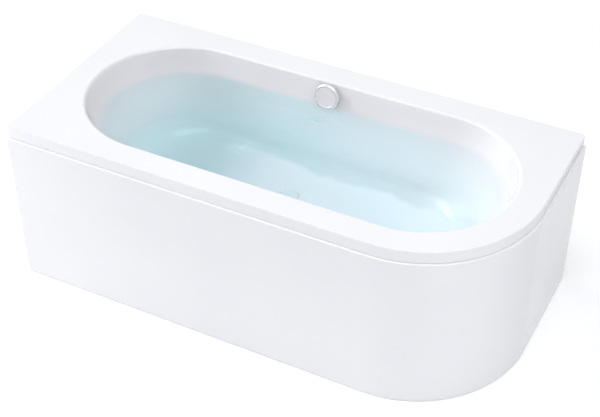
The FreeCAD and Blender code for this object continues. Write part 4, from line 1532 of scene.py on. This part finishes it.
@dataclass(frozen=True)
class Lamp:
    """A soft square lamp, its power in watts."""

    name: str
    place: Point
    size: float
    power: float


@dataclass
class Studio:
    """The pale floor, the light and the camera, whose angles are in degrees and lens in millimetres."""

    camera_place: Point = (1.59638, -3.10186, 3.11329)
    azimuth: float = 26.98
    elevation: float = 38.84
    lens: float = 78.998
    sensor: float = 36.0
    floor_size: float = 30.0
    floor_level: float = -0.0005
    floor_colour: Colour = (0.86, 0.86, 0.865)
    floor_rough: float = 0.9
    floor_shine: float = 0.1
    floor_glow: float = 0.3
    floor_fade: Span = (1.8, 5.0)
    backdrop: Colour = (1.0, 1.0, 1.0)
    sky: float = 0.262
    sky_colour: Colour = (0.88, 0.915, 1.0)
    lamps: tuple[Lamp, ...] = (
        Lamp("key_lamp", (-7.8, -1.5, 5.4), 6.5, 615.0),
        Lamp("top_lamp", (1.6, -1.2, 5.6), 4.0, 175.0),
        Lamp("side_lamp", (-1.9, -1.3, 0.5), 0.6, 5.8),
        Lamp("corner_lamp", (2.5, -1.9, 0.5), 0.6, 13.0),
    )
    target: Point = (0.0, 0.0, 0.35)

    def camera(self) -> None:
        """Place the camera where the picture was taken from."""
        data = bpy.data.cameras.new("studio_camera")
        data.lens = self.lens
        data.sensor_width = self.sensor
        data.sensor_fit = "HORIZONTAL"
        camera = placed("studio_camera", data)
        camera.location = self.camera_place
        camera.rotation_euler = (QUARTER - math.radians(self.elevation), 0.0, math.radians(self.azimuth))
        bpy.context.scene.camera = camera

    def world(self) -> None:
        """Make a backdrop that shows as white all round and lights the bath with a soft sky."""
        world = bpy.data.worlds.new("white_studio")
        world.use_nodes = True
        wiring = Wiring(world.node_tree)
        light = world.node_tree.nodes["Background"]
        wiring.fill(light, Color=self.sky_colour, Strength=self.sky)
        white = wiring.add("Background", Color=self.backdrop, Strength=1.0)
        both = (node.outputs["Background"] for node in (light, white))
        mix = wiring.add("MixShader", wiring.showing(), *both)
        wiring.fill(world.node_tree.nodes["World Output"], Surface=mix.outputs["Shader"])
        bpy.context.scene.world = world

    def floor(self) -> None:
        """Lay a pale floor that keeps the bath's shadow."""
        bm = bmesh.new()
        bmesh.ops.create_grid(bm, x_segments=1, y_segments=1, size=self.floor_size / 2)
        move(bm, (0, 0, self.floor_level))
        floor = to_object(bm, "studio_floor")
        recipe = Recipe("studio_floor")
        recipe.set(
            Base_Color=self.floor_colour, Roughness=self.floor_rough, Specular_IOR_Level=self.floor_shine
        )
        white = recipe.ease(recipe.away(ORIGIN), self.floor_fade, self.floor_glow)
        glow = recipe.add("Emission", Strength=recipe.reckon(Sum.TIMES, recipe.showing(), white))
        both = recipe.add("AddShader", recipe.surface.outputs["BSDF"], glow.outputs["Emission"])
        recipe.fill(recipe.output, Surface=both.outputs["Shader"])
        floor.data.materials.append(recipe.material)

    def light(self) -> None:
        """Hang the soft lamps."""
        for lamp in self.lamps:
            data = bpy.data.lights.new(lamp.name, "AREA")
            data.shape = "SQUARE"
            data.size = lamp.size
            data.energy = lamp.power
            hung = placed(lamp.name, data)
            hung.location = lamp.place
            aim = Vector(self.target) - Vector(lamp.place)
            hung.rotation_euler = aim.to_track_quat("-Z", "Y").to_euler()

    def build(self) -> None:
        """Set up the whole stage."""
        self.camera()
        self.world()
        self.floor()
        self.light()
        bpy.context.scene.view_settings.view_transform = "Standard"


@dataclass
class BathWater:
    """Clear water standing in the basin, which is part of the stage and not of the bath."""

    form: TubForm
    drop: float = 0.085
    lap: float = 0.002
    span: Span = (-0.60, 0.60)
    # water colour along the bath with painted shade: darker and greener towards the left end, paler to the
    # right where more light falls
    tint_and_shade_along: Stops = (
        (0.0, (0.86, 0.955, 0.965)),
        (0.16, (0.75, 0.905, 0.915)),
        (0.42, (0.81, 0.985, 1.0)),
        (0.70, (0.87, 0.98, 1.0)),
        (1.0, (0.92, 0.95, 0.96)),
    )
    # painted light: the lit floor of the basin, seen before the wavering line, gets its own paler tint
    line: Span = (-0.04, -0.07)
    line_start: Span = (-0.26, 0.02)
    line_light: Colour = (0.85, 0.89, 0.915)
    waver: Grain = Grain(5.0, 3.0, (1.0, 0.4, 1.0))
    waver_reach: Span = (-0.03, 0.03)
    # painted shade: a grey darkening over the front middle of the water
    shade_across: Span = (0.10, 0.0)
    shade_along: tuple[Span, ...] = ((-0.50, -0.15), (0.62, 0.42))
    painted_shade_tint: Colour = (0.81, 0.80, 0.805)
    stirs: tuple[Point, ...] = ((-0.17, -0.05, 0.54), (-0.01, 0.20, 0.54))
    stir_reach: Span = (0.085, -0.07)
    stir_grain: Grain = Grain(55.0, 2.0, (0.5, 1.3, 1.0))
    # painted glints and shade of ripples, from dark teal to white
    ripple_glints_and_shade: Stops = (
        (0.40, (0.66, 0.88, 0.90)),
        (0.50, (0.84, 0.97, 0.98)),
        (0.60, (0.98, 1.0, 1.0)),
    )
    edge: Colour = (0.985, 0.995, 1.0)
    shallow: float = 0.034
    tint: Colour = (0.25, 0.74, 0.82)
    density: float = 0.72
    ripples: Grain = Grain(9.0, 3.0, (1, 1.6, 1))
    ripple_relief: Span = (0.2, 0.02)
    ior: float = 1.33

    def surface(self, recipe: Recipe) -> NodeSocket:
        """Tint the surface: water colour with painted shade, greener at the shaded end, a paler painted lit
        band before a wavering line, painted shade at the front middle, and painted glints and shade where it
        stirs.

        Args:
            recipe: the water's recipe.

        Returns:
            The tint.
        """
        split = recipe.add("SeparateXYZ", recipe.place).outputs
        along, across = split["X"], split["Y"]
        # water colour along the bath, with painted shade at the left end
        tint = recipe.ramp(recipe.between(along, SHARE, self.span), self.tint_and_shade_along)
        waver = recipe.between(recipe.noise(self.waver), self.waver_reach)
        # painted light: the lit band before the wavering line
        front = recipe.ease(recipe.reckon(Sum.PLUS, across, waver), self.line)
        lit = recipe.reckon(Sum.TIMES, front, recipe.ease(along, self.line_start))
        # painted shade over the front middle of the water
        deep = recipe.ease(across, self.shade_across)
        for end in self.shade_along:
            deep = recipe.reckon(Sum.TIMES, deep, recipe.ease(along, end))
        tint = recipe.mix(deep, tint, self.painted_shade_tint, Blend.TINT)
        tint = recipe.mix(lit, tint, self.line_light)
        # painted ripple glints and shade, mixed in round each stir
        marks = recipe.ramp(recipe.noise(self.stir_grain), self.ripple_glints_and_shade)
        for stir in self.stirs:
            tint = recipe.mix(recipe.ease(recipe.away(stir), self.stir_reach), tint, marks)
        return recipe.mix(self.shore(recipe, along, across), self.edge, tint)

    def shore(self, recipe: Recipe, along: NodeSocket, across: NodeSocket) -> NodeSocket:
        """Ease from the wall inwards, over the strip where the water is shallow.

        Args:
            recipe: the water's recipe.
            along: the place along the bath.
            across: the place across it.

        Returns:
            The share, 0 at the wall.
        """
        form = self.form
        straight = form.corner_x - form.end_lean * self.drop
        from_middle = recipe.reckon(Sum.SIZE, recipe.reckon(Sum.LESS, along, form.centre[0]))
        past = recipe.reckon(Sum.LARGER, recipe.reckon(Sum.LESS, from_middle, straight))
        sideways = recipe.reckon(Sum.LESS, across, form.centre[1])
        flat = recipe.add("CombineXYZ", past, sideways).outputs["Vector"]
        wall = form.wall(self.drop)
        return recipe.ease(recipe.away(ORIGIN, flat), (wall, wall - self.shallow))

    def material(self) -> Material:
        """Mix clear water that bends what is seen through it and lets the light on the basin pass.

        Returns:
            The material.
        """
        recipe = Recipe("bath_water")
        recipe.tree.nodes.remove(recipe.surface)
        ripples = recipe.bump(recipe.noise(self.ripples), self.ripple_relief)
        tint = self.surface(recipe)
        glass = recipe.add("BsdfGlass", Color=tint, Roughness=0.0, IOR=self.ior, Normal=ripples)
        clear = recipe.add("BsdfTransparent")
        path = recipe.add("LightPath").outputs
        passing = recipe.reckon(Sum.LARGER, path["Is Shadow Ray"], path["Is Diffuse Ray"])
        mix = recipe.add("MixShader", passing, glass.outputs["BSDF"], clear.outputs["BSDF"])
        density = recipe.reckon(Sum.TIMES, path["Is Transmission Ray"], self.density)
        depth = recipe.add("VolumeAbsorption", Color=self.tint, Density=density)
        recipe.fill(recipe.output, Surface=mix.outputs["Shader"], Volume=depth.outputs["Volume"])
        return recipe.material

    def build(self) -> None:
        """Fill the basin up to the lower edge of the knob."""
        form = self.form
        bm = bmesh.new()
        pen = Pen(bm, (0, 0, -self.drop)).line((0, form.wall(self.drop, self.lap), -self.drop))
        form.draw_floor(pen, self.lap)
        form.spread(bm)
        outwards(bm)
        move(bm, form.centre)
        water = to_object(bm, "bath_water")
        smoothed(water)
        water.data.materials.append(self.material())
        log.info("%s: %d faces on the stage", water.name, len(water.data.polygons))


HOSE_ROUTE = Route((
    (-0.029, 0.3383, 0.5283),
    (-0.029, 0.3068, 0.3031),
    (-0.029, 0.2852, 0.1480),
    (-0.029, 0.1286, 0.1480),
    (-0.029, 0.0460, 0.1480),
))
CABLE_ROUTE = Route((
    (-0.002, 0.3394, 0.5362),
    (-0.002, 0.3068, 0.3031),
    (-0.002, 0.2852, 0.1480),
    (-0.002, 0.1286, 0.1480),
    (-0.002, 0.0380, 0.1480),
))
UPPER_CLIP = (-0.029, 0.33665, 0.5184)
LOWER_CLIP = (-0.029, 0.056, 0.148)
UNION_NUTS = (((-0.029, 0.004, 0.099), 0.0), ((-0.029, 0.129, 0.098), QUARTER))
CRADLES = (-0.394, 0.386)
FOOT_ROWS = (-0.276, 0.284)
SCREW_ROWS = (-0.116, -0.074, 0.082, 0.124)
FEET = (
    (Body.FRONT_LEFT, CRADLES[0], FOOT_ROWS[0]),
    (Body.FRONT_RIGHT, CRADLES[1], FOOT_ROWS[0]),
    (Body.BACK_LEFT, CRADLES[0], FOOT_ROWS[1]),
    (Body.BACK_RIGHT, CRADLES[1], FOOT_ROWS[1]),
)
SCREWS = tuple((x, y) for x in CRADLES for y in SCREW_ROWS)


def main() -> None:
    """Set up the stage, build the bath piece by piece and fill it."""
    logging.basicConfig(level=logging.INFO, format="%(name)s: %(message)s")
    Studio().build()
    form = TubForm()
    Dressing().build()
    FormedTub(form).build()
    FrontPanel(form).build()
    OverflowHose(HOSE_ROUTE).build()
    ControlCable(CABLE_ROUTE).build()
    ThreadedRods(FEET).build()
    HexNuts(FEET).build()
    PanScrews(SCREWS).build()
    WormClip("hose_clip_upper", UPPER_CLIP, -form.lean).build()
    WormClip("hose_clip_lower", LOWER_CLIP, QUARTER).build()
    NutGrips(UNION_NUTS).build()
    BathWater(form).build()


if __name__ == "__main__":
    main()
